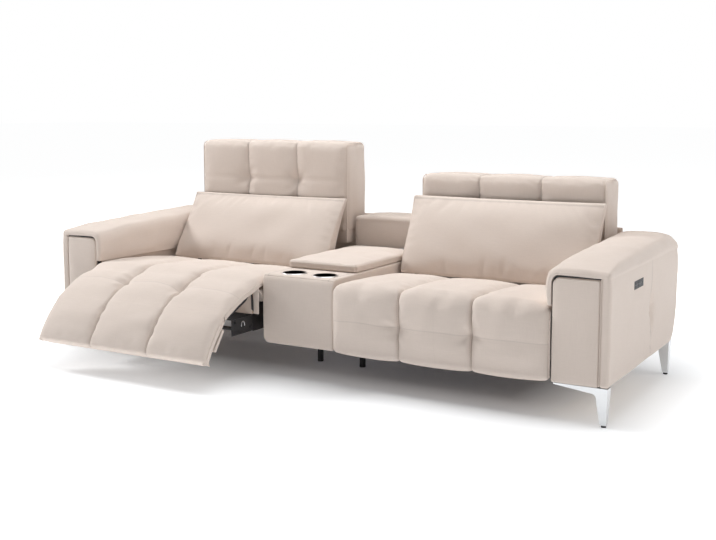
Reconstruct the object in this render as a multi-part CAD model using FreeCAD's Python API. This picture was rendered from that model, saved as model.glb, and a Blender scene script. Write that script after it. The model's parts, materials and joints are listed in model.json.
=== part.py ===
"""Two-seat power recliner sofa with a fixed console between the seats.

Millimetres, +X to the sitter's left (the viewer's right), +Y to the back, +Z up from the floor.
The right-hand seat is stored closed with its headrest down. The left-hand seat is stored
reclined, with its footrest out and its headrest up.
Every moving piece is drawn closed on the right-hand side, then mirrored and moved for the left.
"""
import FreeCAD, Part
import math
import os

from FreeCAD import Vector

os.makedirs("parts", exist_ok=True)

# Overall sizes
WIDTH = 2600.0
ARM_WIDTH = 212.0
CONSOLE_WIDTH = 342.0
BOTTOM = 140.0
GAP = 2.0
SEAT_REST = 0.3
RUNNING = 0.06

# Arms
ARM_DEPTH = 968.0
ARM_SPLIT_Z = 528.0
ARM_FRONT_THICK = 36.0
ARM_SIDE_THICK = 36.0
ARM_BOARD = 18.0
REAR_WRAP = 180.0
ARM_TOP_FRONT = 547.0
ARM_TOP_REAR = 599.0
WRAP_THICK = 22.0
WRAP_LOW_Z = 425.0
SLIT = 3.0
PANEL_CORNER = 28.0

# Control plates in the arms' outer sides
PLATE_Y = 300.0
PLATE_LENGTH = 121.0
PLATE_Z = 446.0
PLATE_HEIGHT = 31.0
PLATE_DEPTH = 10.0
ROCKER_LENGTH = 33.0
ROCKER_HEIGHT = 18.0
ROCKER_THICK = 8.0
ROCKER_PROUD = 1.5
ROCKER_PIN = 1.2
ROCKER_GAP = 0.7
ROCKER_PITCH = 40.0
USB_LENGTH = 13.0
USB_HEIGHT = 6.0
USB_DEPTH = 7.0

# Legs
LEG_FOOT = 22.0
LEG_POST = 44.0
LEG_WING = 198.0
LEG_WING_TIP = 5.0
LEG_WING_ROOT = 24.0
LEG_DEPTH = 40.0
LEG_SET_IN = 2.0
GLIDE_HEIGHT = 8.0
GLIDE_RADIUS = 9.5
REAR_LEG_INSET = 74.0
SUPPORT_RADIUS = 13.0
SUPPORT_FRONT_Y = 345.0
SUPPORT_BEHIND_REST = 25.0
SUPPORT_XS = (-94.0, 120.0)

# Seat frame
RAIL_THICK = 22.0
RAIL_LOW_Z = 200.0
RAIL_TOP_Z = 286.0
RAIL_FRONT_Y = 66.0
APRON_Y = 50.0
APRON_THICK = 15.0
APRON_LOW_Z = 280.0
APRON_TOP_Z = 366.0
MID_RAIL_INSET = 35.0
MID_RAIL_TOP_Z = 240.0
TENON_ZS = (210.0, 234.0)
BACK_RAIL_INSET = 60.0
BACK_RAIL_LOW_Z = 276.0
BACK_RAIL_TOP_Z = 380.0
PLATE_STEEL = 4.0
DECK_LOW_Z = 304.0
DECK_THICK = 16.0
DECK_BATTEN = 40.0
DECK_REAR_INSET = 55.0
STRAP_WIDTH = 60.0
STRAP_THICK = 2.5
STRAP_COUNT = 5
STRAP_FIRST_Y = 72.0

# Seat cushion
SEAT_TOP_Z = 418.0
SEAT_LIP_Z = 392.0
SEAT_BEFORE_HEAD = 204.0
SEAT_REAR_Z = 365.5
PAD_ROUND = 14.0

# Footrest: the upper panel turns on the front hinge, the flap on the fold hinge
HINGE_Y = 28.0
HINGE_Z = 380.0
HINGE_ROD = 5.0
EYE_WALL = 5.0
OPEN_ANGLE = 66.0
SEAT_SLIDE = (-58.0, -17.0)
GUIDE_PIN_FRONT_Y = 110.0
GUIDE_PIN_REAR_INSET = 105.0
GUIDE_PIN_Z = 276.0
GUIDE_PIN = 5.0
BAR_THICK = 3.4
BEAM_LOW_Z = 337.0
BEAM_BEFORE_TILT = 32.0
BEAM_BEHIND_TILT = 34.0
BEAM_THICK = 8.0
EAR_INSET = 26.0
EAR_PITCH = 80.0
EAR_THICK = 8.0
PANEL_TOP_Z = 366.0
PANEL_FOAM = 30.0
PANEL_BOARD = 15.0
FOLD_RADIUS = 17.0
FOLD_ROD = 4.0
FLAP_ANGLE = 60.0
FLAP_REACH = 203.0
FLAP_FOAM = 30.0
FLAP_BOARD = 15.0
FLAP_EAR_RISE = 12.0
BOARD_LOW_Z = 215.0

# Drive unit
DRIVE_Z = 250.0
DRIVE_CLOSED_Y = 66.0
DRIVE_STROKE = 208.0
DRIVE_ROD = 8.0
DRIVE_TUBE = 15.0
DRIVE_TUBE_FRONT_Y = 130.0
DRIVE_PIN = 5.0
MOTOR_LENGTH = 165.0
MOTOR_WIDTH = 84.0
MOTOR_HEIGHT = 62.0
SLOT_HALF = 8.2
SLOT_ENDS = ((61.0, 260.0), (86.0, 228.0))
LUG_GAP = 22.0
LUG_THICK = 5.0

# Back cushion on its sliding carriage
CUSHION_LOW_BEFORE_HEAD = 208.0
CUSHION_HIGH_BEFORE_HEAD = 50.0
TILT_BEFORE_HEAD = 130.0
BOARD_BEFORE_HEAD = 34.0
CUSHION_LOW_Z = 387.0
CUSHION_HIGH_Z = 721.0
TILT_Z = 387.0
BOARD_HIGH_Z = 719.0
BACK_BOARD = 12.0
BACK_BOARD_SHARE = 0.8
BACK_TILT = 7.5
TILT_ROD = 5.0

# Headrest
HEAD_CONSOLE_GAP = 16.0
HEAD_ARM_GAP = 42.0
HEAD_SET = 204.0
HEAD_THICK = 182.0
HEAD_LOW_Z = 385.0
HEAD_TOP_Z = 815.0
HEAD_RAISE = (-31.0, 135.0)
HEAD_ROUND = 34.0
HEAD_ROD = 8.0
HEAD_ROD_LENGTH = 190.0
HEAD_ROD_SPREAD = 252.0
GUIDE_TOP = 10.0
GUIDE_LENGTH = 80.0
GUIDE_WIDTH = 40.0
GUIDE_WALL = 6.0

# Back panel
BACK_PANEL_THICK = 18.0
BACK_PANEL_TOP_Z = 600.0
CLEAT = 44.0

# Console
CONSOLE_FRONT_Y = 15.0
CONSOLE_REAR_GAP = 10.0
CONSOLE_TOP_Z = 430.0
CONSOLE_NOSE = 26.0
CONSOLE_FOOT = 30.0
BIN_HALF = 125.0
BIN_FRONT_Y = 250.0
BIN_REAR_INSET = 145.0
BIN_FLOOR_Z = 240.0
BIN_WALL = 3.0
CUP_XS = (-63.0, 88.0)
CUP_Y = 94.0
CUP_RADIUS = 44.0
CUP_WALL = 2.0
CUP_DEPTH = 70.0
CUP_RIM = 8.0
CUP_PROUD = 3.0
LID_FRONT_Y = 205.0
LID_REAR_INSET = 10.0
LID_THICK = 34.0
LID_HINGE_INSET = 3.0
LID_PIN = 3.0
LID_KNUCKLE = 5.0
LID_KNUCKLE_LENGTH = 50.0
REST_BEHIND_HEAD = 11.0
REST_TOP_Z = 603.0
REST_CROWN = 10.0

HALF = WIDTH / 2
ARM_INNER_X = HALF - ARM_WIDTH
CONSOLE_HALF = CONSOLE_WIDTH / 2
SIDE_X0 = CONSOLE_HALF
SIDE_X1 = ARM_INNER_X + GAP
SEAT_X0 = CONSOLE_HALF + GAP
SEAT_X1 = ARM_INNER_X - GAP
SEAT_MID_X = (SEAT_X0 + SEAT_X1) / 2
STEEL_X0 = SIDE_X0 + RAIL_THICK
STEEL_X1 = SIDE_X1 - RAIL_THICK
ARM_PLATE_X0 = STEEL_X0 + 2 * PLATE_STEEL
ARM_PLATE_X1 = STEEL_X1 - 2 * PLATE_STEEL
BOARD_X0 = ARM_PLATE_X0 + PLATE_STEEL
BOARD_X1 = ARM_PLATE_X1 - PLATE_STEEL
EAR_X0 = BOARD_X0 + 2 * PLATE_STEEL
EAR_X1 = BOARD_X1 - 2 * PLATE_STEEL
FOLD_Y = FOLD_RADIUS
FOLD_Z = BOTTOM + FOLD_RADIUS
BOARD_BACK_Y = PANEL_FOAM + PANEL_BOARD
HEAD_INNER_X = CONSOLE_HALF + HEAD_CONSOLE_GAP
HEAD_OUTER_X = ARM_INNER_X - HEAD_ARM_GAP
HEAD_MID_X = (HEAD_INNER_X + HEAD_OUTER_X) / 2

# Places along Y, set from the arm's depth
REAR_LEG_Y = ARM_DEPTH - REAR_LEG_INSET
BACK_PANEL_Y = ARM_DEPTH - BACK_PANEL_THICK
BACK_RAIL_Y = BACK_PANEL_Y - BACK_RAIL_INSET
HEAD_FRONT_Y = ARM_DEPTH - HEAD_SET
CUSHION_LOW = (HEAD_FRONT_Y - CUSHION_LOW_BEFORE_HEAD, CUSHION_LOW_Z)
CUSHION_HIGH = (HEAD_FRONT_Y - CUSHION_HIGH_BEFORE_HEAD, CUSHION_HIGH_Z)
TILT_PIN = (HEAD_FRONT_Y - TILT_BEFORE_HEAD, TILT_Z)
BOARD_HIGH = (HEAD_FRONT_Y - BOARD_BEFORE_HEAD, BOARD_HIGH_Z)
BEAM_YS = (TILT_PIN[0] - BEAM_BEFORE_TILT, TILT_PIN[0] + BEAM_BEHIND_TILT)
SEAT_REAR_Y = HEAD_FRONT_Y - SEAT_BEFORE_HEAD
DECK_REAR_Y = SEAT_REAR_Y - DECK_REAR_INSET
MID_RAIL_Y = DECK_REAR_Y - MID_RAIL_INSET
GUIDE_PINS = ((GUIDE_PIN_FRONT_Y, GUIDE_PIN_Z), (DECK_REAR_Y - GUIDE_PIN_REAR_INSET, GUIDE_PIN_Z))
REST_FRONT_Y = HEAD_FRONT_Y + REST_BEHIND_HEAD
CONSOLE_REAR_Y = REST_FRONT_Y - CONSOLE_REAR_GAP
BIN_REAR_Y = CONSOLE_REAR_Y - BIN_REAR_INSET
LID_REAR_Y = CONSOLE_REAR_Y - LID_REAR_INSET
LID_HINGE_Y = CONSOLE_REAR_Y - LID_HINGE_INSET
SUPPORT_REAR_Y = REST_FRONT_Y + SUPPORT_BEHIND_REST


def line(a, b):
    return Part.LineSegment(a, b).toShape()


def arc(a, mid, b):
    return Part.Arc(a, mid, b).toShape()


def box(x0, x1, y0, y1, z0, z1):
    return Part.makeBox(x1 - x0, y1 - y0, z1 - z0, Vector(x0, y0, z0))


def outline(start, steps, place):
    """A closed wire. A step is a point for a line, or a pair of points for an arc."""
    edges = []
    here = start
    for step in steps + [start]:
        if isinstance(step[0], tuple):
            edges.append(arc(place(here), place(step[0]), place(step[1])))
            here = step[1]
        elif math.dist(here, step) > 1e-6:
            edges.append(line(place(here), place(step)))
            here = step
    return Part.Wire(edges)


def side_prism(start, steps, x0, x1):
    """A side profile of (y, z) points, drawn out along X."""
    wire = outline(start, steps, lambda p: Vector(x0, p[0], p[1]))
    return Part.Face(wire).extrude(Vector(x1 - x0, 0, 0))


def front_prism(start, steps, y0, y1):
    """A front profile of (x, z) points, drawn out along Y."""
    wire = outline(start, steps, lambda p: Vector(p[0], y0, p[1]))
    return Part.Face(wire).extrude(Vector(0, y1 - y0, 0))


def rod_x(y, z, radius, x0, x1):
    return Part.makeCylinder(radius, x1 - x0, Vector(x0, y, z), Vector(1, 0, 0))


def fillet_where(shape, radius, chosen):
    """Rounds the edges whose middle point and direction pass the test."""
    edges = [e for e in shape.Edges if chosen(e)]
    return shape.makeFillet(radius, edges)


def runs_along(edge, axis):
    if len(edge.Vertexes) < 2 or edge.Curve.TypeId != "Part::GeomLine":
        return False
    direction = edge.Vertexes[1].Point - edge.Vertexes[0].Point
    return abs(direction.normalize().dot(axis)) > 0.99


def at_end(edge, coordinate, value):
    return all(abs(getattr(v.Point, coordinate) - value) < 0.01 for v in edge.Vertexes)


def rotated(shape, pin, degrees):
    """A copy turned about an X-wise axis through pin, given as (y, z)."""
    moved = shape.copy()
    moved.rotate(Vector(0, pin[0], pin[1]), Vector(1, 0, 0), degrees)
    return moved


def shifted(shape, step):
    """A copy moved by (dy, dz)."""
    moved = shape.copy()
    moved.translate(Vector(0, step[0], step[1]))
    return moved


def mirrored(shape):
    return shape.mirror(Vector(0, 0, 0), Vector(1, 0, 0))


def both_sides(shape):
    return Part.makeCompound([shape, mirrored(shape)])


# Arms

def arm_side_profile(inset=0.0):
    """The arm seen from the side, up to the split under its top pad."""
    rear = ARM_DEPTH - inset
    low = BOTTOM + inset
    start = (inset, low)
    steps = [
        (rear - 122, low),
        ((rear - 50, low + 40), (rear - 13, low + 140)),
        ((rear, low + 240), (rear - 8, ARM_SPLIT_Z)),
        (inset, ARM_SPLIT_Z),
    ]
    return start, steps


def is_top_corner(edge, x):
    """True for the long edge at x where the top pad wraps over."""
    return runs_along(edge, Vector(0, 1, 0)) and at_end(edge, "x", x) and at_end(edge, "z", ARM_SPLIT_Z)


def arm_frame():
    """Plywood box of the arm: outer and inner boards on front and rear blocks."""
    x0 = ARM_INNER_X + GAP
    x1 = HALF - ARM_SIDE_THICK
    start, steps = arm_side_profile(ARM_FRONT_THICK)
    body = side_prism(start, steps, x0, x1)
    sole_y1 = ARM_DEPTH - REAR_WRAP - SEAT_REST
    sole = box(x0, x1, ARM_FRONT_THICK, sole_y1, BOTTOM, BOTTOM + 2 * ARM_FRONT_THICK)
    body = body.fuse(sole).removeSplitter()
    y1 = ARM_DEPTH - 3 * ARM_FRONT_THICK
    y0 = 2 * ARM_FRONT_THICK
    body = fillet_where(body, PANEL_CORNER, lambda e: is_top_corner(e, x0))
    low = BOTTOM + 2 * ARM_FRONT_THICK
    return body.cut(box(x0 + ARM_BOARD, x1 - ARM_BOARD, y0, y1, low, ARM_SPLIT_Z - ARM_BOARD))


def arm_front_panel():
    x0 = ARM_INNER_X
    x1 = HALF - ARM_SIDE_THICK - SEAT_REST
    top = ARM_SPLIT_Z - SLIT
    bend = PANEL_CORNER
    steps = [
        (x1, BOTTOM),
        (x1, top),
        (x0 + bend, top),
        ((x0 + 0.29 * bend, top - 0.29 * bend), (x0, top - bend)),
    ]
    panel = front_prism((x0, BOTTOM), steps, 0, ARM_FRONT_THICK)
    return fillet_where(panel, 7.0, lambda e: at_end(e, "y", 0.0))


def arm_side_panel():
    """Padded outer side, which wraps round the front and rear corners."""
    start, steps = arm_side_profile()
    x0 = HALF - ARM_SIDE_THICK
    side = side_prism(start, steps, x0, HALF)
    side = fillet_where(side, 14.0, lambda e: at_end(e, "x", HALF) and not at_end(e, "z", ARM_SPLIT_Z))
    rear = side_prism(start, steps, ARM_INNER_X + GAP, x0)
    inner_start, inner_steps = arm_side_profile(ARM_FRONT_THICK)
    core = side_prism(inner_start, inner_steps, ARM_INNER_X, x0)
    rear = rear.cut(core).cut(box(0, HALF, -1, ARM_DEPTH - REAR_WRAP, 0, WIDTH))
    rear = fillet_where(rear, PANEL_CORNER, lambda e: is_top_corner(e, ARM_INNER_X + GAP))
    side = side.fuse(rear).removeSplitter()
    x1 = HALF - PLATE_DEPTH
    pocket = box(x1, HALF + 1, PLATE_Y, PLATE_Y + PLATE_LENGTH, PLATE_Z, PLATE_Z + PLATE_HEIGHT)
    return side.cut(pocket)


def arm_top_section(y, top):
    """The top pad's section at y: over the arm and down its inner side."""
    low = ARM_SPLIT_Z + SEAT_REST
    in_x = ARM_INNER_X - GAP - WRAP_THICK
    out_x = HALF
    bend = min(44.0, 0.75 * (top - low))
    inner = ARM_INNER_X - GAP
    steps = [
        (in_x, top - 42),
        ((in_x + 12, top - 12), (in_x + 44, top - 1)),
        ((HALF - ARM_WIDTH / 2, top + 3), (out_x - bend, top - 2)),
        ((out_x - 0.28 * bend, top - 2 - 0.28 * bend), (out_x, top - 2 - bend)),
        (out_x, low),
        (inner + PANEL_CORNER, low),
        ((inner + 0.29 * PANEL_CORNER, low - 0.29 * PANEL_CORNER), (inner, low - PANEL_CORNER)),
        (inner, WRAP_LOW_Z),
    ]
    return outline((in_x, WRAP_LOW_Z), steps, lambda p: Vector(p[0], y, p[1]))


def arm_top_pad():
    rise = ARM_TOP_REAR - ARM_TOP_FRONT
    stations = [
        (0.0, ARM_TOP_FRONT - 3),
        (12.0, ARM_TOP_FRONT + 5),
        (0.15 * ARM_DEPTH, ARM_TOP_FRONT + 0.42 * rise),
        (0.48 * ARM_DEPTH, ARM_TOP_FRONT + 0.71 * rise),
        (0.87 * ARM_DEPTH, ARM_TOP_REAR),
        (0.95 * ARM_DEPTH, ARM_TOP_REAR - 9),
        (ARM_DEPTH - 12, ARM_TOP_REAR - 40),
    ]
    wires = [arm_top_section(y, top) for y, top in stations]
    return Part.makeLoft(wires, True, True)


def plate_windows():
    """The (y, z) middle of each rocker's window, and of the charging socket."""
    z = PLATE_Z + PLATE_HEIGHT / 2
    first = PLATE_Y + ROCKER_LENGTH / 2 + 6
    return [(first, z), (first + ROCKER_PITCH, z)], (PLATE_Y + PLATE_LENGTH - 20, z)


def control_plate():
    x0 = HALF - PLATE_DEPTH
    plate = box(x0, HALF, PLATE_Y, PLATE_Y + PLATE_LENGTH, PLATE_Z, PLATE_Z + PLATE_HEIGHT)
    rockers, (usb_y, usb_z) = plate_windows()
    half_y = ROCKER_LENGTH / 2 + ROCKER_GAP
    half_z = ROCKER_HEIGHT / 2 + ROCKER_GAP
    pin_x = HALF - ROCKER_THICK / 2
    for y, z in rockers:
        plate = plate.cut(box(x0 - 1, HALF + 1, y - half_y, y + half_y, z - half_z, z + half_z))
        pin_end = Vector(pin_x, y, z - half_z - 2)
        plate = plate.cut(Part.makeCylinder(ROCKER_PIN + RUNNING, 2 * half_z + 4, pin_end))
    half_y = USB_LENGTH / 2
    half_z = USB_HEIGHT / 2
    x0 = HALF - USB_DEPTH
    socket = box(x0, HALF + 1, usb_y - half_y, usb_y + half_y, usb_z - half_z, usb_z + half_z)
    return plate.cut(socket)


def rocker(index):
    """A paddle that rocks on upright trunnions."""
    y, z = plate_windows()[0][index]
    half_y = ROCKER_LENGTH / 2
    half_z = ROCKER_HEIGHT / 2
    x0 = HALF - ROCKER_THICK + 1
    tip = HALF + ROCKER_PROUD
    wire = Part.Wire([
        line(Vector(x0, y - half_y + 1, z - half_z), Vector(HALF, y - half_y, z - half_z)),
        arc(Vector(HALF, y - half_y, z - half_z), Vector(tip, y, z - half_z),
            Vector(HALF, y + half_y, z - half_z)),
        line(Vector(HALF, y + half_y, z - half_z), Vector(x0, y + half_y - 1, z - half_z)),
        line(Vector(x0, y + half_y - 1, z - half_z), Vector(x0, y - half_y + 1, z - half_z)),
    ])
    paddle = Part.Face(wire).extrude(Vector(0, 0, ROCKER_HEIGHT))
    reach = half_z + ROCKER_GAP + 1.5
    pin_low = Vector(HALF - ROCKER_THICK / 2, y, z - reach)
    return paddle.fuse(Part.makeCylinder(ROCKER_PIN, 2 * reach, pin_low))


# Legs

def leg_foot_x():
    return HALF - LEG_SET_IN - LEG_FOOT / 2 - 5


def corner_leg(y_outer, toward):
    """A cast leg: a wing under the arm's end and a tapering post at its outer corner.
    toward is +1 where the leg's depth runs to the back, -1 where it runs to the front."""
    x1 = HALF - LEG_SET_IN
    foot_x1 = leg_foot_x() + LEG_FOOT / 2
    foot_x0 = foot_x1 - LEG_FOOT
    post_x0 = x1 - LEG_POST
    wing_z = BOTTOM - LEG_WING_ROOT
    steps = [
        (foot_x1, GLIDE_HEIGHT),
        (x1, BOTTOM),
        (x1 - LEG_WING, BOTTOM),
        (x1 - LEG_WING, BOTTOM - LEG_WING_TIP),
        (post_x0 - 14, wing_z + 2),
        ((post_x0 - 2, wing_z - 4), (post_x0 + 2, wing_z - 18)),
    ]
    low = min(y_outer, y_outer + toward * LEG_DEPTH)
    front = front_prism((foot_x0, GLIDE_HEIGHT), steps, low, low + LEG_DEPTH)
    y_in = y_outer + toward * LEG_DEPTH
    y_foot0 = y_outer + toward * 4
    y_foot1 = y_foot0 + toward * LEG_FOOT
    side_steps = [(y_foot1, GLIDE_HEIGHT), (y_in, BOTTOM), (y_outer, BOTTOM)]
    side = side_prism((y_foot0, GLIDE_HEIGHT), side_steps, x1 - LEG_WING - 1, x1 + 1)
    return front.common(side)


def front_leg():
    return corner_leg(4.0, 1)


def rear_leg():
    """The rear casting rises to meet the arm's curved lower corner."""
    x1 = HALF - LEG_SET_IN
    riser = box(x1 - LEG_WING, x1, REAR_LEG_Y - LEG_DEPTH, REAR_LEG_Y, BOTTOM, BOTTOM + LEG_DEPTH)
    start, steps = arm_side_profile(-SEAT_REST)
    arm = side_prism(start, steps, 0, WIDTH)
    return corner_leg(REAR_LEG_Y, -1).fuse(riser).cut(arm).removeSplitter()


def glide(y_middle):
    return Part.makeCylinder(GLIDE_RADIUS, GLIDE_HEIGHT, Vector(leg_foot_x(), y_middle, 0))


def leg_glides():
    front_y = 4.0 + 4 + LEG_FOOT / 2
    rear_y = REAR_LEG_Y - 4 - LEG_FOOT / 2
    return Part.makeCompound([both_sides(glide(front_y)), both_sides(glide(rear_y))])


def support_legs():
    legs = []
    for x in SUPPORT_XS:
        for y in (SUPPORT_FRONT_Y, SUPPORT_REAR_Y):
            legs.append(Part.makeCylinder(SUPPORT_RADIUS, BOTTOM, Vector(x, y, 0)))
    return Part.makeCompound(legs)


# Seat

def seat_frame():
    """The fixed base: two side rails, a middle rail for the motor and the back rail."""
    y1 = BACK_RAIL_Y + RAIL_THICK
    frame = box(SIDE_X0, STEEL_X0, RAIL_FRONT_Y, y1, RAIL_LOW_Z, RAIL_TOP_Z)
    frame = frame.fuse(box(STEEL_X1, SIDE_X1, RAIL_FRONT_Y, y1, RAIL_LOW_Z, RAIL_TOP_Z))
    mid_y1 = MID_RAIL_Y + RAIL_THICK
    mid_x0 = STEEL_X0 + PLATE_STEEL
    mid_x1 = STEEL_X1 - PLATE_STEEL
    frame = frame.fuse(box(mid_x0, mid_x1, MID_RAIL_Y, mid_y1, RAIL_LOW_Z, MID_RAIL_TOP_Z))
    frame = frame.fuse(box(STEEL_X0, STEEL_X1, MID_RAIL_Y, mid_y1, *TENON_ZS))
    frame = frame.fuse(box(SIDE_X0, SIDE_X1, BACK_RAIL_Y, y1, BACK_RAIL_LOW_Z, BACK_RAIL_TOP_Z))
    return frame.removeSplitter()


def seat_deck():
    """The moving frame under the cushion: an apron board, two side battens and a rear one."""
    x0 = ARM_PLATE_X0 - SEAT_REST
    x1 = ARM_PLATE_X1 + SEAT_REST
    top = DECK_LOW_Z + DECK_THICK
    apron_y = APRON_Y + APRON_THICK
    deck = box(BOARD_X0, BOARD_X1, APRON_Y, apron_y, APRON_LOW_Z, APRON_TOP_Z)
    deck = deck.fuse(box(x0, x0 + DECK_BATTEN, apron_y, DECK_REAR_Y, DECK_LOW_Z, top))
    deck = deck.fuse(box(x1 - DECK_BATTEN, x1, apron_y, DECK_REAR_Y, DECK_LOW_Z, top))
    deck = deck.fuse(box(x0, x1, DECK_REAR_Y - DECK_BATTEN, DECK_REAR_Y, DECK_LOW_Z, top))
    return deck.removeSplitter()


def seat_straps():
    """Elastic straps from side to side over the deck, under the cushion."""
    straps = []
    low = DECK_LOW_Z + DECK_THICK
    room = DECK_REAR_Y - STRAP_FIRST_Y - STRAP_WIDTH
    for i in range(STRAP_COUNT):
        y = STRAP_FIRST_Y + room * i / (STRAP_COUNT - 1)
        straps.append(box(ARM_PLATE_X0, ARM_PLATE_X1, y, y + STRAP_WIDTH, low, low + STRAP_THICK))
    return Part.makeCompound(straps)


def seat_pad():
    low = DECK_LOW_Z + DECK_THICK + STRAP_THICK + SEAT_REST
    front = APRON_Y + APRON_THICK + GAP
    lip_y = HINGE_Y
    steps = [
        (front, SEAT_LIP_Z),
        (lip_y, SEAT_LIP_Z),
        ((lip_y + 6, SEAT_LIP_Z + 9), (lip_y + 34, SEAT_TOP_Z - 2)),
        ((HINGE_Y + 150, SEAT_TOP_Z + 3), (MID_RAIL_Y - 70, SEAT_TOP_Z - 14)),
        ((SEAT_REAR_Y - 70, SEAT_REAR_Z + 9), (SEAT_REAR_Y, SEAT_REAR_Z)),
        (SEAT_REAR_Y, SEAT_REAR_Z - 20),
        (MID_RAIL_Y, low),
    ]
    return side_prism((front, low), steps, SEAT_X0, SEAT_X1)


def eye_radius():
    return HINGE_ROD + EYE_WALL


def side_plate(x0, inward):
    """A steel side plate. Its pins guide the slots of the seat carriage; inward is +1 or -1."""
    x1 = x0 + PLATE_STEEL
    low = RAIL_LOW_Z + 8
    top = DECK_LOW_Z - 5
    steps = [
        (DECK_REAR_Y + 10, low),
        (DECK_REAR_Y + 30, low + 20),
        (DECK_REAR_Y - 20, top),
        (RAIL_FRONT_Y + 10, top),
        (RAIL_FRONT_Y - 2, top - 16),
        (RAIL_FRONT_Y - 2, top - 44),
    ]
    plate = side_prism((RAIL_FRONT_Y + 30, low), steps, x0, x1)
    window = box(x0 - 1, x1 + 1, MID_RAIL_Y - SEAT_REST, MID_RAIL_Y + RAIL_THICK + SEAT_REST,
                 TENON_ZS[0] - SEAT_REST, TENON_ZS[1] + SEAT_REST)
    plate = plate.cut(window)
    reach = PLATE_STEEL + BAR_THICK + 1
    pin_x = x0 if inward > 0 else x1 - reach
    for y, z in GUIDE_PINS:
        plate = plate.fuse(rod_x(y, z, GUIDE_PIN, pin_x, pin_x + reach))
    return plate.removeSplitter()


def mechanism_plates():
    return [side_plate(STEEL_X0, 1), side_plate(STEEL_X1 - PLATE_STEEL, -1)]


def carriage_bar(x0):
    """A slotted side bar with the front hinge's eye and the foot of the cross beam."""
    x1 = x0 + BAR_THICK
    eye = eye_radius()
    slot_low = GUIDE_PINS[0][1]
    top = DECK_LOW_Z + DECK_THICK
    beam_top = BEAM_LOW_Z + BEAM_THICK
    steps = [
        (DECK_REAR_Y - 20, slot_low - 14),
        (BEAM_YS[0] - 10, BEAM_LOW_Z - 26),
        (BEAM_YS[1], BEAM_LOW_Z - 20),
        (BEAM_YS[1], beam_top),
        (BEAM_YS[0], beam_top),
        (DECK_REAR_Y, top),
        (HINGE_Y + 2 * eye, top),
        (HINGE_Y + eye - 1, HINGE_Z),
        (HINGE_Y, HINGE_Z),
        (HINGE_Y + 5, PANEL_TOP_Z),
        (HINGE_Y + 7, top - 20),
        (RAIL_FRONT_Y, slot_low),
    ]
    bar = side_prism((RAIL_FRONT_Y + 10, slot_low - 14), steps, x0, x1)
    bar = bar.fuse(rod_x(HINGE_Y, HINGE_Z, eye, x0, x1))
    for y, z in GUIDE_PINS:
        ends = [(y, z), (y - SEAT_SLIDE[0], z - SEAT_SLIDE[1])]
        bar = bar.cut(stadium(ends, GUIDE_PIN + RUNNING, x0 - 1, x1 + 1))
    return bar.removeSplitter()


def hinge_stations():
    """The x ranges of the carriage's ears; the back board's knuckles lie between them."""
    starts = []
    for inset in (EAR_INSET, EAR_INSET + EAR_PITCH):
        starts += [ARM_PLATE_X0 + inset, ARM_PLATE_X1 - inset - EAR_THICK]
    return [(x, x + EAR_THICK) for x in sorted(starts)]


def seat_carriage():
    """The steel that slides: side bars, front hinge rod, cross beam, ears and tilt rods."""
    x0 = STEEL_X0 + PLATE_STEEL + SEAT_REST
    x1 = STEEL_X1 - PLATE_STEEL - SEAT_REST
    carriage = carriage_bar(x0).fuse(carriage_bar(x1 - BAR_THICK))
    carriage = carriage.fuse(rod_x(HINGE_Y, HINGE_Z, HINGE_ROD, x0 - 2, x1 + 2))
    carriage = carriage.fuse(box(x0, x1, *BEAM_YS, BEAM_LOW_Z, BEAM_LOW_Z + BEAM_THICK))
    eye = TILT_ROD + EYE_WALL
    beam_top = BEAM_LOW_Z + BEAM_THICK
    stations = hinge_stations()
    for ear_x0, ear_x1 in stations:
        ear = box(ear_x0, ear_x1, TILT_PIN[0] - eye, TILT_PIN[0] + eye, beam_top - 1, TILT_PIN[1])
        carriage = carriage.fuse(ear).fuse(rod_x(TILT_PIN[0], TILT_PIN[1], eye, ear_x0, ear_x1))
    for left, right in ((stations[0][0], stations[1][1]), (stations[2][0], stations[3][1])):
        carriage = carriage.fuse(rod_x(TILT_PIN[0], TILT_PIN[1], TILT_ROD, left, right))
    return carriage.removeSplitter()


# Footrest, drawn closed

def footrest_upper_pad():
    """Foam of the hanging panel, with a rolled lower edge round the fold rod."""
    corner = 0.29 * PAD_ROUND
    top_front = (0, PANEL_TOP_Z - PAD_ROUND)
    steps = [
        (0, FOLD_Z),
        ((FOLD_Y - 0.707 * FOLD_RADIUS, FOLD_Z - 0.707 * FOLD_RADIUS), (FOLD_Y, FOLD_Z - FOLD_RADIUS)),
        ((FOLD_Y + 0.707 * FOLD_RADIUS, FOLD_Z - 0.707 * FOLD_RADIUS), (FOLD_Y + FOLD_RADIUS, FOLD_Z)),
        (PANEL_FOAM, FOLD_Z + 2 * FOLD_RADIUS),
        (PANEL_FOAM, PANEL_TOP_Z),
        (PAD_ROUND, PANEL_TOP_Z),
        ((corner, PANEL_TOP_Z - corner), top_front),
    ]
    pad = side_prism(top_front, steps, SEAT_X0, SEAT_X1)
    room = FOLD_RADIUS + 3
    for x in (EAR_X0, EAR_X1 - PLATE_STEEL):
        notch = box(x - 1, x + PLATE_STEEL + 1, -1, FOLD_Y + room, BOTTOM - 1, FOLD_Z + 2 * room)
        pad = pad.cut(notch)
    return pad.cut(rod_x(FOLD_Y, FOLD_Z, FOLD_ROD + RUNNING, SEAT_X0 - 1, SEAT_X1 + 1))


def lug_plate(x0):
    """A lug behind the upper board, with the slot that the drive pin slides in."""
    wall = SLOT_HALF + EYE_WALL
    lug = box(x0, x0 + LUG_THICK, BOARD_BACK_Y, DRIVE_CLOSED_Y, DRIVE_Z - 30, DRIVE_Z + SLOT_HALF)
    lug = lug.fuse(stadium(SLOT_ENDS, wall, x0, x0 + LUG_THICK))
    lug = lug.cut(stadium(SLOT_ENDS, SLOT_HALF, x0 - 1, x0 + LUG_THICK + 1))
    return lug.cut(box(x0 - 1, x0 + LUG_THICK + 1, 0, BOARD_BACK_Y, 0, WIDTH))


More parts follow.
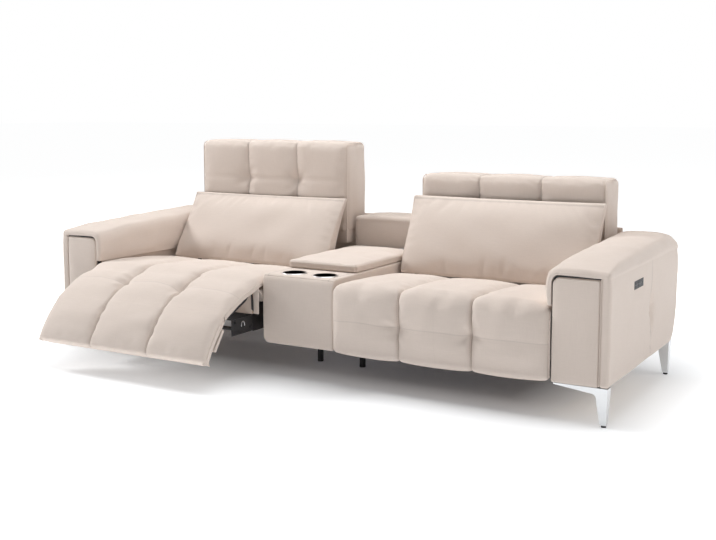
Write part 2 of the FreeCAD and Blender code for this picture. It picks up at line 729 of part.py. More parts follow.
def stadium(ends, radius, x0, x1):
    """A bar with round ends between two (y, z) points."""
    (ya, za), (yb, zb) = ends
    span = math.dist(ends[0], ends[1])
    ny, nz = -(zb - za) / span * radius, (yb - ya) / span * radius
    corners = [(yb + ny, zb + nz), (yb - ny, zb - nz), (ya - ny, za - nz)]
    bar = side_prism((ya + ny, za + nz), corners, x0, x1)
    return bar.fuse(rod_x(ya, za, radius, x0, x1)).fuse(rod_x(yb, zb, radius, x0, x1))


def footrest_upper_board():
    return box(BOARD_X0, BOARD_X1, PANEL_FOAM, BOARD_BACK_Y, BOARD_LOW_Z, PANEL_TOP_Z)


def footrest_arm(x0):
    """A swing arm from the front hinge down the end of the upper board."""
    x1 = x0 + PLATE_STEEL
    eye = eye_radius()
    steps = [
        (HINGE_Y + eye, HINGE_Z - 2),
        (BOARD_BACK_Y + 8, HINGE_Z - 40),
        (BOARD_BACK_Y + 8, BOARD_LOW_Z + 8),
        (BOARD_BACK_Y - 4, BOARD_LOW_Z),
        (PANEL_FOAM + 1, BOARD_LOW_Z),
        (PANEL_FOAM + 1, PANEL_TOP_Z),
    ]
    arm = side_prism((HINGE_Y, HINGE_Z - 6), steps, x0, x1)
    arm = arm.fuse(rod_x(HINGE_Y, HINGE_Z, eye, x0, x1))
    return arm.cut(rod_x(HINGE_Y, HINGE_Z, HINGE_ROD + RUNNING, x0 - 1, x1 + 1)).removeSplitter()


def footrest_arms():
    """The two swing arms and the slotted lugs that the drive rod pushes."""
    pieces = [footrest_arm(ARM_PLATE_X0), footrest_arm(ARM_PLATE_X1 - PLATE_STEEL)]
    half = LUG_GAP / 2
    pieces.append(lug_plate(SEAT_MID_X - half - LUG_THICK))
    pieces.append(lug_plate(SEAT_MID_X + half))
    return Part.makeCompound(pieces)


def flap_end_y():
    return FOLD_Y + FLAP_REACH


def footrest_lower_pad():
    y0 = FOLD_Y + 9
    y1 = flap_end_y()
    top = BOTTOM + FLAP_FOAM
    bend = PAD_ROUND
    steps = [
        (y1 - bend, BOTTOM),
        ((y1 - 0.29 * bend, BOTTOM + 0.29 * bend), (y1, BOTTOM + bend)),
        (y1, top),
        (y0, top),
    ]
    pad = side_prism((y0, BOTTOM), steps, SEAT_X0, SEAT_X1)
    clear = FOLD_RADIUS + SEAT_REST
    pad = pad.cut(rod_x(FOLD_Y, FOLD_Z, clear, SEAT_X0 - 1, SEAT_X1 + 1))
    pad = pad.cut(box(SEAT_X0 - 1, SEAT_X1 + 1, 0, FOLD_Y + clear, FOLD_Z, top + 1))
    for x in (EAR_X0, EAR_X1 - PLATE_STEEL):
        pad = pad.cut(box(x - 1, x + PLATE_STEEL + 1, 0, FOLD_Y + 2 * FOLD_RADIUS, BOTTOM - 1, top + 1))
    return pad


def footrest_lower_board():
    z0 = BOTTOM + FLAP_FOAM
    y0 = FOLD_Y + FOLD_RADIUS + 8
    board = box(BOARD_X0, BOARD_X1, y0, flap_end_y() - 8, z0, z0 + FLAP_BOARD)
    end = flap_end_y() - 8
    return fillet_where(board, 6.0, lambda e: runs_along(e, Vector(1, 0, 0)) and at_end(e, "y", end))


def fold_ear(x0):
    """An ear from the flap's board to the fold rod."""
    x1 = x0 + PLATE_STEEL
    board_top = BOTTOM + FLAP_FOAM + FLAP_BOARD
    board_y = FOLD_Y + FOLD_RADIUS + 8
    eye = FOLD_ROD + EYE_WALL
    steps = [
        (FOLD_Y + eye, FOLD_Z),
        (board_y - 1, BOTTOM + FLAP_FOAM),
        (board_y - 1, board_top),
        (board_y + 70, board_top),
        (board_y + 60, board_top + FLAP_EAR_RISE),
        (board_y - 4, board_top + FLAP_EAR_RISE),
    ]
    ear = side_prism((FOLD_Y, FOLD_Z + eye), steps, x0, x1)
    return ear.fuse(rod_x(FOLD_Y, FOLD_Z, eye, x0, x1))


def fold_hinge():
    ears = fold_ear(EAR_X0).fuse(fold_ear(EAR_X1 - PLATE_STEEL))
    rod = rod_x(FOLD_Y, FOLD_Z, FOLD_ROD, EAR_X0 - 20, EAR_X1 + 20)
    return ears.fuse(rod).removeSplitter()


# Drive

def recline_motor():
    """Motor housing on the middle rail with its guide tube."""
    half = MOTOR_WIDTH / 2
    y1 = MID_RAIL_Y
    y0 = y1 - MOTOR_LENGTH
    low = DRIVE_Z - MOTOR_HEIGHT / 2
    housing = box(SEAT_MID_X - half, SEAT_MID_X + half, y0, y1, low, low + MOTOR_HEIGHT)
    housing = fillet_where(housing, 12.0, lambda e: runs_along(e, Vector(0, 1, 0)))
    mouth = Vector(SEAT_MID_X, DRIVE_TUBE_FRONT_Y, DRIVE_Z)
    along = Vector(0, 1, 0)
    tube = Part.makeCylinder(DRIVE_TUBE, y0 - DRIVE_TUBE_FRONT_Y + 5, mouth, along)
    bore_length = MID_RAIL_Y - DRIVE_TUBE_FRONT_Y - 30
    bore = Part.makeCylinder(DRIVE_ROD + SEAT_REST, bore_length, mouth - along, along)
    return housing.fuse(tube).cut(bore).removeSplitter()


def drive_rod():
    """The rod that leaves the motor's tube, with a cross pin for the slotted lugs."""
    length = MID_RAIL_Y - 60 - DRIVE_CLOSED_Y
    start = Vector(SEAT_MID_X, DRIVE_CLOSED_Y, DRIVE_Z)
    rod = Part.makeCylinder(DRIVE_ROD, length, start, Vector(0, 1, 0))
    reach = LUG_GAP / 2 + LUG_THICK + 4
    pin = rod_x(DRIVE_CLOSED_Y, DRIVE_Z, DRIVE_PIN, SEAT_MID_X - reach, SEAT_MID_X + reach)
    return rod.fuse(pin).removeSplitter()


# Back cushion, drawn closed

def board_point(up, forward):
    """A point by its distance up the back board's rear face and forward of it."""
    length = math.dist(TILT_PIN, BOARD_HIGH)
    uy, uz = (BOARD_HIGH[0] - TILT_PIN[0]) / length, (BOARD_HIGH[1] - TILT_PIN[1]) / length
    return (TILT_PIN[0] + up * uy - forward * uz, TILT_PIN[1] + up * uz + forward * uy)


def back_board():
    """Plywood board behind the cushion, with knuckles on the tilt rod."""
    height = BACK_BOARD_SHARE * math.dist(TILT_PIN, BOARD_HIGH)
    x0 = HEAD_INNER_X + 20
    x1 = SEAT_X1 - WRAP_THICK - 40
    low = TILT_ROD + EYE_WALL + 4
    steps = [board_point(height, 0), board_point(height, BACK_BOARD), board_point(low, BACK_BOARD)]
    board = side_prism(board_point(low, 0), steps, x0, x1)
    eye = TILT_ROD + EYE_WALL
    stations = hinge_stations()
    face = BACK_BOARD - 2
    neck_steps = [board_point(low, 0), board_point(low, face), board_point(0, face)]
    for i in (0, 2):
        left = stations[i][1] + 1
        right = stations[i + 1][0] - 1
        neck = side_prism(board_point(0, 0), neck_steps, left, right)
        board = board.fuse(neck).fuse(rod_x(TILT_PIN[0], TILT_PIN[1], eye, left, right))
    bore = rod_x(TILT_PIN[0], TILT_PIN[1], TILT_ROD + RUNNING, SEAT_X0, SEAT_X1)
    return board.cut(bore).removeSplitter()


def back_cushion():
    """The wedge of foam in front of the board and over its top edge."""
    height = BACK_BOARD_SHARE * math.dist(TILT_PIN, BOARD_HIGH) + SEAT_REST
    face = BACK_BOARD + SEAT_REST
    steps = [
        CUSHION_HIGH,
        BOARD_HIGH,
        board_point(height, 0),
        board_point(height, face),
        board_point(2, face),
    ]
    cushion = side_prism(CUSHION_LOW, steps, SEAT_X0, SEAT_X1 - WRAP_THICK - GAP)
    top_z = BOARD_HIGH[1] - 1
    along_x = Vector(1, 0, 0)
    return fillet_where(cushion, 5.0, lambda e: runs_along(e, along_x) and e.Vertexes[0].Point.z > top_z)


# Headrest, drawn lowered

def headrest_pad():
    y1 = HEAD_FRONT_Y + HEAD_THICK
    bend = HEAD_ROUND
    steps = [
        (y1, HEAD_LOW_Z),
        (y1, HEAD_TOP_Z - bend),
        ((y1 - 0.29 * bend, HEAD_TOP_Z - 0.29 * bend), (y1 - bend, HEAD_TOP_Z)),
        (HEAD_FRONT_Y + bend, HEAD_TOP_Z),
        ((HEAD_FRONT_Y + 0.29 * bend, HEAD_TOP_Z - 0.29 * bend), (HEAD_FRONT_Y, HEAD_TOP_Z - bend)),
    ]
    return side_prism((HEAD_FRONT_Y, HEAD_LOW_Z), steps, HEAD_INNER_X, HEAD_OUTER_X)


def raise_direction():
    length = math.hypot(*HEAD_RAISE)
    return HEAD_RAISE[0] / length, HEAD_RAISE[1] / length


def head_rod_start():
    return HEAD_FRONT_Y + HEAD_THICK / 2, HEAD_LOW_Z


def head_rod_xs():
    return HEAD_MID_X - HEAD_ROD_SPREAD, HEAD_MID_X + HEAD_ROD_SPREAD


def headrest_rods():
    """Two bars that lean with the headrest's travel, cut square at the pad."""
    uy, uz = raise_direction()
    y, z = head_rod_start()
    rods = []
    for x in head_rod_xs():
        top = Vector(x, y + 20 * uy, z + 20 * uz)
        rod = Part.makeCylinder(HEAD_ROD, HEAD_ROD_LENGTH + 20, top, Vector(0, -uy, -uz))
        rods.append(rod.cut(box(x - 20, x + 20, y - 60, y + 60, z, z + 60)))
    return rods


def headrest_guides():
    """Guide blocks for the headrest's bars, on the back rail's front face."""
    uy, uz = raise_direction()
    y, z = head_rod_start()
    wall = HEAD_ROD + GUIDE_WALL
    top = (y - GUIDE_TOP * uy, z - GUIDE_TOP * uz)
    low = (y - (GUIDE_TOP + GUIDE_LENGTH) * uy, z - (GUIDE_TOP + GUIDE_LENGTH) * uz)
    guides = []
    for x in head_rod_xs():
        front_top = (top[0] - wall, top[1])
        front_low = (low[0] - wall, low[1])
        steps = [(BACK_RAIL_Y, low[1]), (BACK_RAIL_Y, top[1]), front_top]
        block = side_prism(front_low, steps, x - GUIDE_WIDTH / 2, x + GUIDE_WIDTH / 2)
        start = Vector(x, y + 20 * uy, z + 20 * uz)
        bore = Part.makeCylinder(HEAD_ROD + RUNNING, HEAD_ROD_LENGTH, start, Vector(0, -uy, -uz))
        guides.append(block.cut(bore))
    return guides


def back_panel():
    y1 = BACK_PANEL_Y + BACK_PANEL_THICK
    panel = box(SEAT_X0, SEAT_X1 + GAP, BACK_PANEL_Y, y1, BOTTOM, BACK_PANEL_TOP_Z)
    wrap_x = SEAT_X1 - WRAP_THICK - GAP
    panel = panel.cut(box(wrap_x, SIDE_X1, 0, WIDTH, WRAP_LOW_Z - GAP, WIDTH))
    panel = fillet_where(panel, 8.0, lambda e: at_end(e, "y", y1) and runs_along(e, Vector(1, 0, 0)))
    cleat_y = BACK_RAIL_Y + RAIL_THICK
    for x0 in (STEEL_X0, STEEL_X1 - CLEAT):
        panel = panel.fuse(box(x0, x0 + CLEAT, cleat_y, BACK_PANEL_Y, BACK_RAIL_LOW_Z, BACK_RAIL_TOP_Z))
    return panel


# Console

def console_body():
    half = CONSOLE_HALF
    body = box(-half, half, CONSOLE_FRONT_Y, CONSOLE_REAR_Y, BOTTOM, CONSOLE_TOP_Z)
    along_x = Vector(1, 0, 0)
    along_z = Vector(0, 0, 1)

    def is_nose(e):
        return runs_along(e, along_x) and at_end(e, "y", CONSOLE_FRONT_Y) and at_end(e, "z", CONSOLE_TOP_Z)

    def is_foot(e):
        return runs_along(e, Vector(0, 1, 0)) and at_end(e, "z", BOTTOM) and at_end(e, "x", -half)

    body = fillet_where(body, CONSOLE_NOSE, is_nose)
    body = fillet_where(body, CONSOLE_FOOT, is_foot)
    body = fillet_where(body, 8.0, lambda e: runs_along(e, along_z) and at_end(e, "y", CONSOLE_FRONT_Y))
    body = body.cut(box(-BIN_HALF, BIN_HALF, BIN_FRONT_Y, BIN_REAR_Y, BIN_FLOOR_Z, CONSOLE_TOP_Z + 1))
    for x in CUP_XS:
        depth = CUP_DEPTH + CUP_WALL + SEAT_REST
        low = Vector(x, CUP_Y, CONSOLE_TOP_Z - depth)
        body = body.cut(Part.makeCylinder(CUP_RADIUS + CUP_WALL + SEAT_REST, depth + 1, low))
    return body


def console_bin():
    outer = box(-BIN_HALF, BIN_HALF, BIN_FRONT_Y, BIN_REAR_Y, BIN_FLOOR_Z, CONSOLE_TOP_Z)
    half = BIN_HALF - BIN_WALL
    y0 = BIN_FRONT_Y + BIN_WALL
    y1 = BIN_REAR_Y - BIN_WALL
    inner = box(-half, half, y0, y1, BIN_FLOOR_Z + BIN_WALL, CONSOLE_TOP_Z + 1)
    return outer.cut(inner)


def cup_holder(x):
    low = CONSOLE_TOP_Z - CUP_DEPTH - CUP_WALL
    outer = CUP_RADIUS + CUP_WALL
    cup = Part.makeCylinder(outer, CUP_DEPTH + CUP_WALL, Vector(x, CUP_Y, low))
    rim = Part.makeCylinder(outer + CUP_RIM, CUP_PROUD, Vector(x, CUP_Y, CONSOLE_TOP_Z))
    top = CONSOLE_TOP_Z + CUP_PROUD
    circles = [e for e in rim.Edges if at_end(e, "z", top) and e.Curve.TypeId == "Part::GeomCircle"]
    rim = rim.makeChamfer(CUP_PROUD / 2, circles)
    bore = Part.makeCylinder(CUP_RADIUS, CUP_DEPTH + CUP_PROUD + 1, Vector(x, CUP_Y, low + CUP_WALL))
    return cup.fuse(rim).cut(bore).removeSplitter()


def lid_hinge_z():
    return CONSOLE_TOP_Z + SEAT_REST + LID_THICK - 4


def knuckle_starts():
    """The x of each knuckle along the lid's pin: leaf, lid, leaf, lid, leaf."""
    first = -2.5 * LID_KNUCKLE_LENGTH
    return [first + i * LID_KNUCKLE_LENGTH for i in range(5)]


def lid_hinge():
    """The fixed leaf on the body's rear wall, with its knuckles and the pin."""
    z = lid_hinge_z()
    y0 = CONSOLE_REAR_Y
    starts = knuckle_starts()
    end = starts[-1] + LID_KNUCKLE_LENGTH
    leaf = box(starts[0], end, y0, y0 + 3, CONSOLE_TOP_Z - 60, z - LID_KNUCKLE - 1)
    for x in starts[0::2]:
        neck = box(x, x + LID_KNUCKLE_LENGTH, y0, y0 + 2, z - LID_KNUCKLE - 2, z)
        leaf = leaf.fuse(neck).fuse(rod_x(LID_HINGE_Y, z, LID_KNUCKLE, x, x + LID_KNUCKLE_LENGTH))
    return leaf.fuse(rod_x(LID_HINGE_Y, z, LID_PIN, starts[0], end)).removeSplitter()


def console_lid():
    low = CONSOLE_TOP_Z + SEAT_REST
    half = CONSOLE_HALF - GAP
    lid = box(-half, half, LID_FRONT_Y, LID_REAR_Y, low, low + LID_THICK)
    lid = fillet_where(lid, 12.0, lambda e: runs_along(e, Vector(0, 0, 1)) and at_end(e, "y", LID_FRONT_Y))
    top = low + LID_THICK
    lid = fillet_where(lid, 11.0, lambda e: at_end(e, "z", top) and not at_end(e, "y", LID_REAR_Y))
    z = lid_hinge_z()
    for x in knuckle_starts()[1::2]:
        x0, x1 = x + 1, x + LID_KNUCKLE_LENGTH - 1
        tongue = box(x0, x1, LID_REAR_Y - 4, LID_HINGE_Y, z - 3, z + 3)
        lid = lid.fuse(tongue).fuse(rod_x(LID_HINGE_Y, z, LID_KNUCKLE, x0, x1))
    return lid.cut(rod_x(LID_HINGE_Y, z, LID_PIN + RUNNING, -half, half)).removeSplitter()


def console_back_rest():
    half = CONSOLE_HALF
    bend = 22.0
    steps = [
        (half, BOTTOM),
        (half, REST_TOP_Z - bend),
        ((half - 0.29 * bend, REST_TOP_Z - 0.29 * bend), (half - bend, REST_TOP_Z)),
        ((0, REST_TOP_Z + REST_CROWN), (-half + bend, REST_TOP_Z)),
        ((-half + 0.29 * bend, REST_TOP_Z - 0.29 * bend), (-half, REST_TOP_Z - bend)),
    ]
    rest = front_prism((-half, BOTTOM), steps, REST_FRONT_Y, ARM_DEPTH - 2)
    return rest


def open_pose(piece, body):
    """The piece moved from closed to open, as its body moves."""
    hinge = (HINGE_Y, HINGE_Z)
    if body == "seat":
        return shifted(piece, SEAT_SLIDE)
    if body == "footrest":
        return shifted(rotated(piece, hinge, -OPEN_ANGLE), SEAT_SLIDE)
    if body == "flap":
        unfolded = rotated(piece, (FOLD_Y, FOLD_Z), -FLAP_ANGLE)
        return shifted(rotated(unfolded, hinge, -OPEN_ANGLE), SEAT_SLIDE)
    if body == "drive":
        return shifted(piece, (-DRIVE_STROKE, 0))
    if body == "back":
        return shifted(rotated(piece, TILT_PIN, -BACK_TILT), SEAT_SLIDE)
    if body == "headrest":
        return shifted(piece, HEAD_RAISE)
    return piece


def fixed_pieces():
    """Pieces that never move, one for each side where they come in pairs."""
    nodes = {}
    for name, shape in (
        ("arm_frame", arm_frame()),
        ("arm_front_panel", arm_front_panel()),
        ("arm_side_panel", arm_side_panel()),
        ("arm_top_pad", arm_top_pad()),
        ("seat_frame", seat_frame()),
    ):
        nodes["right_" + name] = shape
        nodes["left_" + name] = mirrored(shape)
    for name, pieces in (
        ("front_corner_legs", [front_leg()]),
        ("rear_corner_legs", [rear_leg()]),
        ("control_plates", [control_plate()]),
        ("mechanism_plates", mechanism_plates()),
        ("recline_motors", [recline_motor()]),
        ("headrest_guides", headrest_guides()),
        ("back_panels", [back_panel()]),
    ):
        nodes[name] = Part.makeCompound(pieces + [mirrored(p) for p in pieces])
    nodes["leg_glides"] = leg_glides()
    nodes["support_legs"] = support_legs()
    nodes["console_body"] = console_body()
    nodes["console_bin"] = console_bin()
    nodes["cup_holders"] = Part.makeCompound([cup_holder(x) for x in CUP_XS])
    nodes["console_lid_hinge"] = lid_hinge()
    nodes["console_lid"] = console_lid()
    nodes["console_back_rest"] = console_back_rest()
    return nodes


def moving_pieces():
    """Pieces of the two seats' moving bodies: closed on the right, open on the left."""
    nodes = {}
    for name, body, shape in (
        ("seat_deck", "seat", seat_deck()),
        ("seat_straps", "seat", seat_straps()),
        ("seat_pad", "seat", seat_pad()),
        ("seat_carriage", "seat", seat_carriage()),
        ("footrest_upper_pad", "footrest", footrest_upper_pad()),
        ("footrest_upper_board", "footrest", footrest_upper_board()),
        ("footrest_arms", "footrest", footrest_arms()),
        ("footrest_lower_pad", "flap", footrest_lower_pad()),
        ("footrest_lower_board", "flap", footrest_lower_board()),
        ("fold_hinge", "flap", fold_hinge()),
        ("drive_rod", "drive", drive_rod()),
        ("back_board", "back", back_board()),
        ("back_cushion", "back", back_cushion()),
        ("headrest_pad", "headrest", headrest_pad()),
        ("headrest_rods", "headrest", Part.makeCompound(headrest_rods())),
        ("recline_rocker", "recline_rocker", rocker(0)),
        ("headrest_rocker", "headrest_rocker", rocker(1)),
    ):
        nodes["right_" + name] = shape
        nodes["left_" + name] = mirrored(open_pose(shape, body))
    return nodes


def main():
    nodes = fixed_pieces()
    nodes.update(moving_pieces())
    whole = Part.makeCompound(list(nodes.values())).BoundBox
    middle = (whole.YMin + whole.YMax) / 2
    print("nodes", len(nodes), "box", whole, "shift", middle)
    for name, shape in nodes.items():
        placed = shape.copy()
        placed.translate(Vector(0, -middle, 0))
        placed.exportStep("parts/" + name + ".step")


main()
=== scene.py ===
"""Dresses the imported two-seat recliner sofa: covers, piping, small hardware, finishes and stage.

Lengths in this file are millimetres in the part's own frame, with y 0 at the front of the arms.
They become metres in the row's frame when a mesh is made.
Covers are shaped for the closed right-hand seat, then posed and mirrored for the left-hand one.
"""

import json
import math

import bmesh
import bpy
import numpy as np
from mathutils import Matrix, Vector


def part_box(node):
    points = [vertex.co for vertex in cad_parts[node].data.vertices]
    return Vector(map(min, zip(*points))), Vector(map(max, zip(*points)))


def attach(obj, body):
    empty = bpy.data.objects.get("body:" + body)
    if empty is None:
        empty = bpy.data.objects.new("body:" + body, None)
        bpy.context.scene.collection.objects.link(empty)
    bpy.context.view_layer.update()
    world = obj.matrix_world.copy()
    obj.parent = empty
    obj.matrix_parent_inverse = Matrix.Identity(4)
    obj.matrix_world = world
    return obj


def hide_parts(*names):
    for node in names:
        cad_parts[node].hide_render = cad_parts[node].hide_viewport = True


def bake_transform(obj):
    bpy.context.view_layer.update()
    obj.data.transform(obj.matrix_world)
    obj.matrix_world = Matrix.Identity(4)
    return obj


bl_info = {
    "name": "Recliner sofa covers",
    "version": (1, 0, 0),
    "blender": (4, 5, 0),
    "location": "View3D > Sidebar > Sofa",
    "description": "Builds the covers, hardware and stage of a two-seat recliner sofa",
    "category": "Object",
}

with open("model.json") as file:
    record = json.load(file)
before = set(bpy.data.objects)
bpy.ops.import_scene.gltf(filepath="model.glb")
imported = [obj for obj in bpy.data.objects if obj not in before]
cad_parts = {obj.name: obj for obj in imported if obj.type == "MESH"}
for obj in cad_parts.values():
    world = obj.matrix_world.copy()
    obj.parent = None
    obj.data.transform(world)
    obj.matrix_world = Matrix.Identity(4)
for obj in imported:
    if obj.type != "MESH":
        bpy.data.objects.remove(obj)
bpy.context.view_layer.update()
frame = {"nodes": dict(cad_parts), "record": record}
ARM_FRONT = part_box("right_arm_front_panel")[0][1]
MM = 0.001

# Sizes shared with the part
HALF = 1300.0
ARM_INNER = 1088.0
ARM_DEPTH = 968.0
BOTTOM = 140.0
SPLIT_Z = 528.0
SEAT_X0, SEAT_X1 = 175.0, 1084.0
CONSOLE_HALF = 171.0
CONSOLE_FRONT, CONSOLE_REAR, CONSOLE_TOP = 15.0, 765.0, 430.0
HINGE = (28.0, 380.0)
FOLD = (17.0, 157.0)
TILT_PIN = (634.0, 387.0)
OPEN_ANGLE, FLAP_ANGLE, BACK_TILT = 66.0, 60.0, 7.5
SEAT_SLIDE = (-58.0, -17.0)
DRIVE_STROKE = 208.0
HEAD_RAISE = (-31.0, 135.0)
CUP_XS, CUP_Y, CUP_HOLE, CUP_BRIGHT = (-63.0, 88.0), 94.0, 46.4, 48.6
BIN = (-125.0, 125.0, 250.0, 620.0)
PLATE = (300.0, 421.0, 446.0, 477.0)
SEAMS = (477.0, 782.0)
CROWN, VALLEY = 22.0, 11.0
HEAD_SEAMS = (473.0, 760.0)
QUILT_STEP = 9.0
ARM_SEAM_Y, DIMPLE_Z = 551.0, 336.0
REAR_SEAM_X = 620.0
NO_SEAM = 99.0
BUTTONS = (("recline", 322.5), ("headrest", 362.5))
SIDES = (("right", 1, False), ("left", -1, True))

# Marks of the stitching, in millimetres from the seam and in turns along it
STITCH_AWAY, STITCH_HALF = 4.5, 0.9
STITCH_TURN, STITCH_GAP = 0.9, -0.35
# How fast the painted shade along seam grooves and creases fades, per millimetre from the line
PAINTED_SHADE_FALL = 0.3

# Stage, in metres and degrees
FLOOR_REACH = 60.0
GLOW_START = (0.85, 0.5)
GLOW_MIDDLE = 0.42
CAMERA_PLACE = (2.3369, -3.5036, 1.1101)
CAMERA_DOWN, CAMERA_TURN = 6.4013, 30.2265
CAMERA_SHIFT = (0.0007, -0.0612)

# Cloth that fills the covers
CLOTH = {
    "quality": 4, "mass": 0.3, "tension_stiffness": 12.0, "compression_stiffness": 6.0,
    "shear_stiffness": 4.0, "bending_stiffness": 0.4, "use_pressure": True, "shrink_min": -0.012,
}


# Shader values

class Wire:
    """One value in a shader. Arithmetic on it adds Math nodes."""

    def __init__(self, tree, socket):
        self.tree = tree
        self.socket = socket

    def node(self, kind, inputs=(), output=0, **settings):
        """Any node of this tree, with its inputs wired or set."""
        made = self.tree.nodes.new(kind)
        for name, value in settings.items():
            setattr(made, name, value)
        for name, value in dict(inputs).items():
            if isinstance(value, Wire):
                self.tree.links.new(value.socket, made.inputs[name])
            else:
                made.inputs[name].default_value = value
        return Wire(self.tree, made.outputs[output])

    def math(self, operation, *values):
        inputs = dict(enumerate(values))
        return self.node("ShaderNodeMath", inputs, operation=operation)

    def __add__(self, other):
        return self.math("ADD", self, other)

    def __sub__(self, other):
        return self.math("SUBTRACT", self, other)

    def __mul__(self, other):
        return self.math("MULTIPLY", self, other)

    def __truediv__(self, other):
        return self.math("DIVIDE", self, other)

    def __pow__(self, other):
        return self.math("POWER", self, other)

    def __radd__(self, other):
        return self.math("ADD", other, self)

    def __rsub__(self, other):
        return self.math("SUBTRACT", other, self)

    def __rmul__(self, other):
        return self.math("MULTIPLY", other, self)

    def __rtruediv__(self, other):
        return self.math("DIVIDE", other, self)

    def sin(self):
        return self.math("SINE", self)

    def absolute(self):
        return self.math("ABSOLUTE", self)

    def above(self, level):
        return self.math("GREATER_THAN", self, level)

    def below(self, level):
        return self.math("LESS_THAN", self, level)

    def at_least(self, level):
        return self.math("MAXIMUM", self, level)

    def at_most(self, level):
        return self.math("MINIMUM", self, level)


class Finish:
    """A new material with its main shader and ready coordinates."""

    def __init__(self, name, metallic=0.0):
        self.material = bpy.data.materials.new(name)
        self.material.use_nodes = True
        self.tree = self.material.node_tree
        self.shader = self.tree.nodes["Principled BSDF"]
        self.shader.inputs["Metallic"].default_value = metallic
        self.root = Wire(self.tree, None)
        self.place = self.root.node("ShaderNodeTexCoord", output="Object")

    def noise(self, scale, detail=2.0, place=None):
        inputs = {"Vector": place or self.place, "Scale": scale, "Detail": detail}
        return self.root.node("ShaderNodeTexNoise", inputs, output="Fac")

    def axes(self):
        split = self.root.node("ShaderNodeSeparateXYZ", {"Vector": self.place})
        return [Wire(self.tree, s) for s in split.socket.node.outputs]

    def attribute(self, name):
        return self.root.node("ShaderNodeAttribute", output="Fac", attribute_name=name)

    def mix(self, share, first, second):
        """A blend of two colours, whose sockets the Mix node tells apart only by number."""
        inputs = {0: share, 6: first, 7: second}
        return self.root.node("ShaderNodeMix", inputs, output=2, data_type="RGBA")

    def set(self, name, value):
        if isinstance(value, Wire):
            self.tree.links.new(value.socket, self.shader.inputs[name])
        else:
            self.shader.inputs[name].default_value = value

    def bump(self, height, distance, strength=1.0):
        inputs = {"Height": height, "Distance": distance, "Strength": strength}
        self.set("Normal", self.root.node("ShaderNodeBump", inputs, output="Normal"))


def shade(colour, factor):
    """The colour made darker or lighter, fully opaque."""
    return (colour[0] * factor, colour[1] * factor, colour[2] * factor, 1.0)


def fabric(name, colour, weave_pitch):
    """Close-woven upholstery cloth with soft mottling and stitched seams, with painted shade along seam
    grooves and creases.
    """
    made = Finish(name)
    x, y, z = made.axes()
    turns = 2 * math.pi / (weave_pitch * MM)
    weave = (x * turns).sin() + (y * turns).sin() + (z * turns).sin()
    fuzz = made.noise(900.0, 3.0)
    mottle = made.noise(9.0, 4.0)
    slub = 0.0
    for scale in ((26.0, 26.0, 330.0), (330.0, 330.0, 26.0)):
        drawn = made.root.node("ShaderNodeMapping", {"Vector": made.place, "Scale": scale})
        slub = made.noise(1.0, 3.0, drawn) * 0.5 + slub
    thread = made.mix(slub * 0.8 + fuzz * 0.2, shade(colour, 0.88), shade(colour, 1.10))
    handled = shade((colour[0], colour[1] * 0.985, colour[2] * 0.965), 0.95)
    worn = made.mix(mottle * 0.5, thread, handled)
    across = made.attribute("seam_across").absolute()
    along = made.attribute("seam_along")
    beside = (across - STITCH_AWAY).absolute().below(STITCH_HALF)
    stitch = beside * (along * STITCH_TURN).sin().above(STITCH_GAP)
    # Painted shade: a dark line down each seam groove and along the cross crease, where shade falls
    painted_seam_shade = (1.0 - across * PAINTED_SHADE_FALL).at_least(0.0)
    crease = (1.0 - made.attribute("crease").absolute() * PAINTED_SHADE_FALL).at_least(0.0)
    # The dark colour holds the real stitch marks and the painted shade of grooves and creases
    dark = (stitch * 0.3 + painted_seam_shade * 0.5).at_least(crease * 0.25)
    made.set("Base Color", made.mix(dark, worn, shade(colour, 0.55)))
    made.set("Roughness", mottle * 0.12 + 0.82)
    made.bump(weave * 0.12 + fuzz * 0.5 + slub * 0.5 + stitch * 1.2, 0.0006, 0.55)
    made.shader.inputs["Sheen Weight"].default_value = 0.18
    made.shader.inputs["Sheen Roughness"].default_value = 0.45
    return made.material


def metal(name, colour, roughness, grain, metallic=1.0):
    """Bare or coated metal with fine grain and slight handling marks."""
    made = Finish(name, metallic)
    fine = made.noise(grain, 4.0)
    broad = made.noise(14.0, 3.0)
    made.set("Base Color", made.mix(broad * 0.6, shade(colour, 1.0), shade(colour, 0.88)))
    made.set("Roughness", fine * 0.16 + broad * 0.10 + (roughness - 0.12))
    made.bump(fine, 0.0002, 0.35)
    return made.material


def plastic(name, colour, roughness):
    """Moulded plastic with a fine grain."""
    made = Finish(name)
    fine = made.noise(1400.0, 2.0)
    broad = made.noise(22.0, 3.0)
    made.set("Base Color", made.mix(broad, shade(colour, 0.9), shade(colour, 1.25)))
    made.set("Roughness", fine * 0.10 + broad * 0.08 + roughness - 0.09)
    made.bump(fine, 0.0002, 0.5)
    return made.material


def plywood(name, colour):
    """Rotary-cut veneer: long grain with rings and darker pores."""
    made = Finish(name)
    _, _, z = made.axes()
    stretched = made.root.node("ShaderNodeMapping", {"Vector": made.place, "Scale": (2.0, 30.0, 30.0)})
    grain = made.noise(9.0, 6.0, stretched)
    pores = made.noise(60.0, 3.0, stretched)
    rings = ((grain * 26.0 + z * 40.0).sin() + 1.0) * 0.5
    made.set("Base Color", made.mix(rings * 0.5 + pores * 0.3, shade(colour, 1.12), shade(colour, 0.72)))
    made.set("Roughness", pores * 0.2 + 0.55)
    made.bump(rings * 0.5 + pores, 0.0004, 0.4)
    return made.material


def webbing(name, colour):
    """Ribbed elastic band with lighter stripes."""
    made = Finish(name)
    x, y, _ = made.axes()
    rib = (x * 2100.0).sin() * (y * 2100.0).sin()
    band = (y * 520.0).sin().above(0.55)
    made.set("Base Color", made.mix(band, shade(colour, 1.0), shade(colour, 1.6)))
    made.set("Roughness", rib * 0.05 + 0.85)
    made.bump(rib, 0.0005, 0.7)
    return made.material


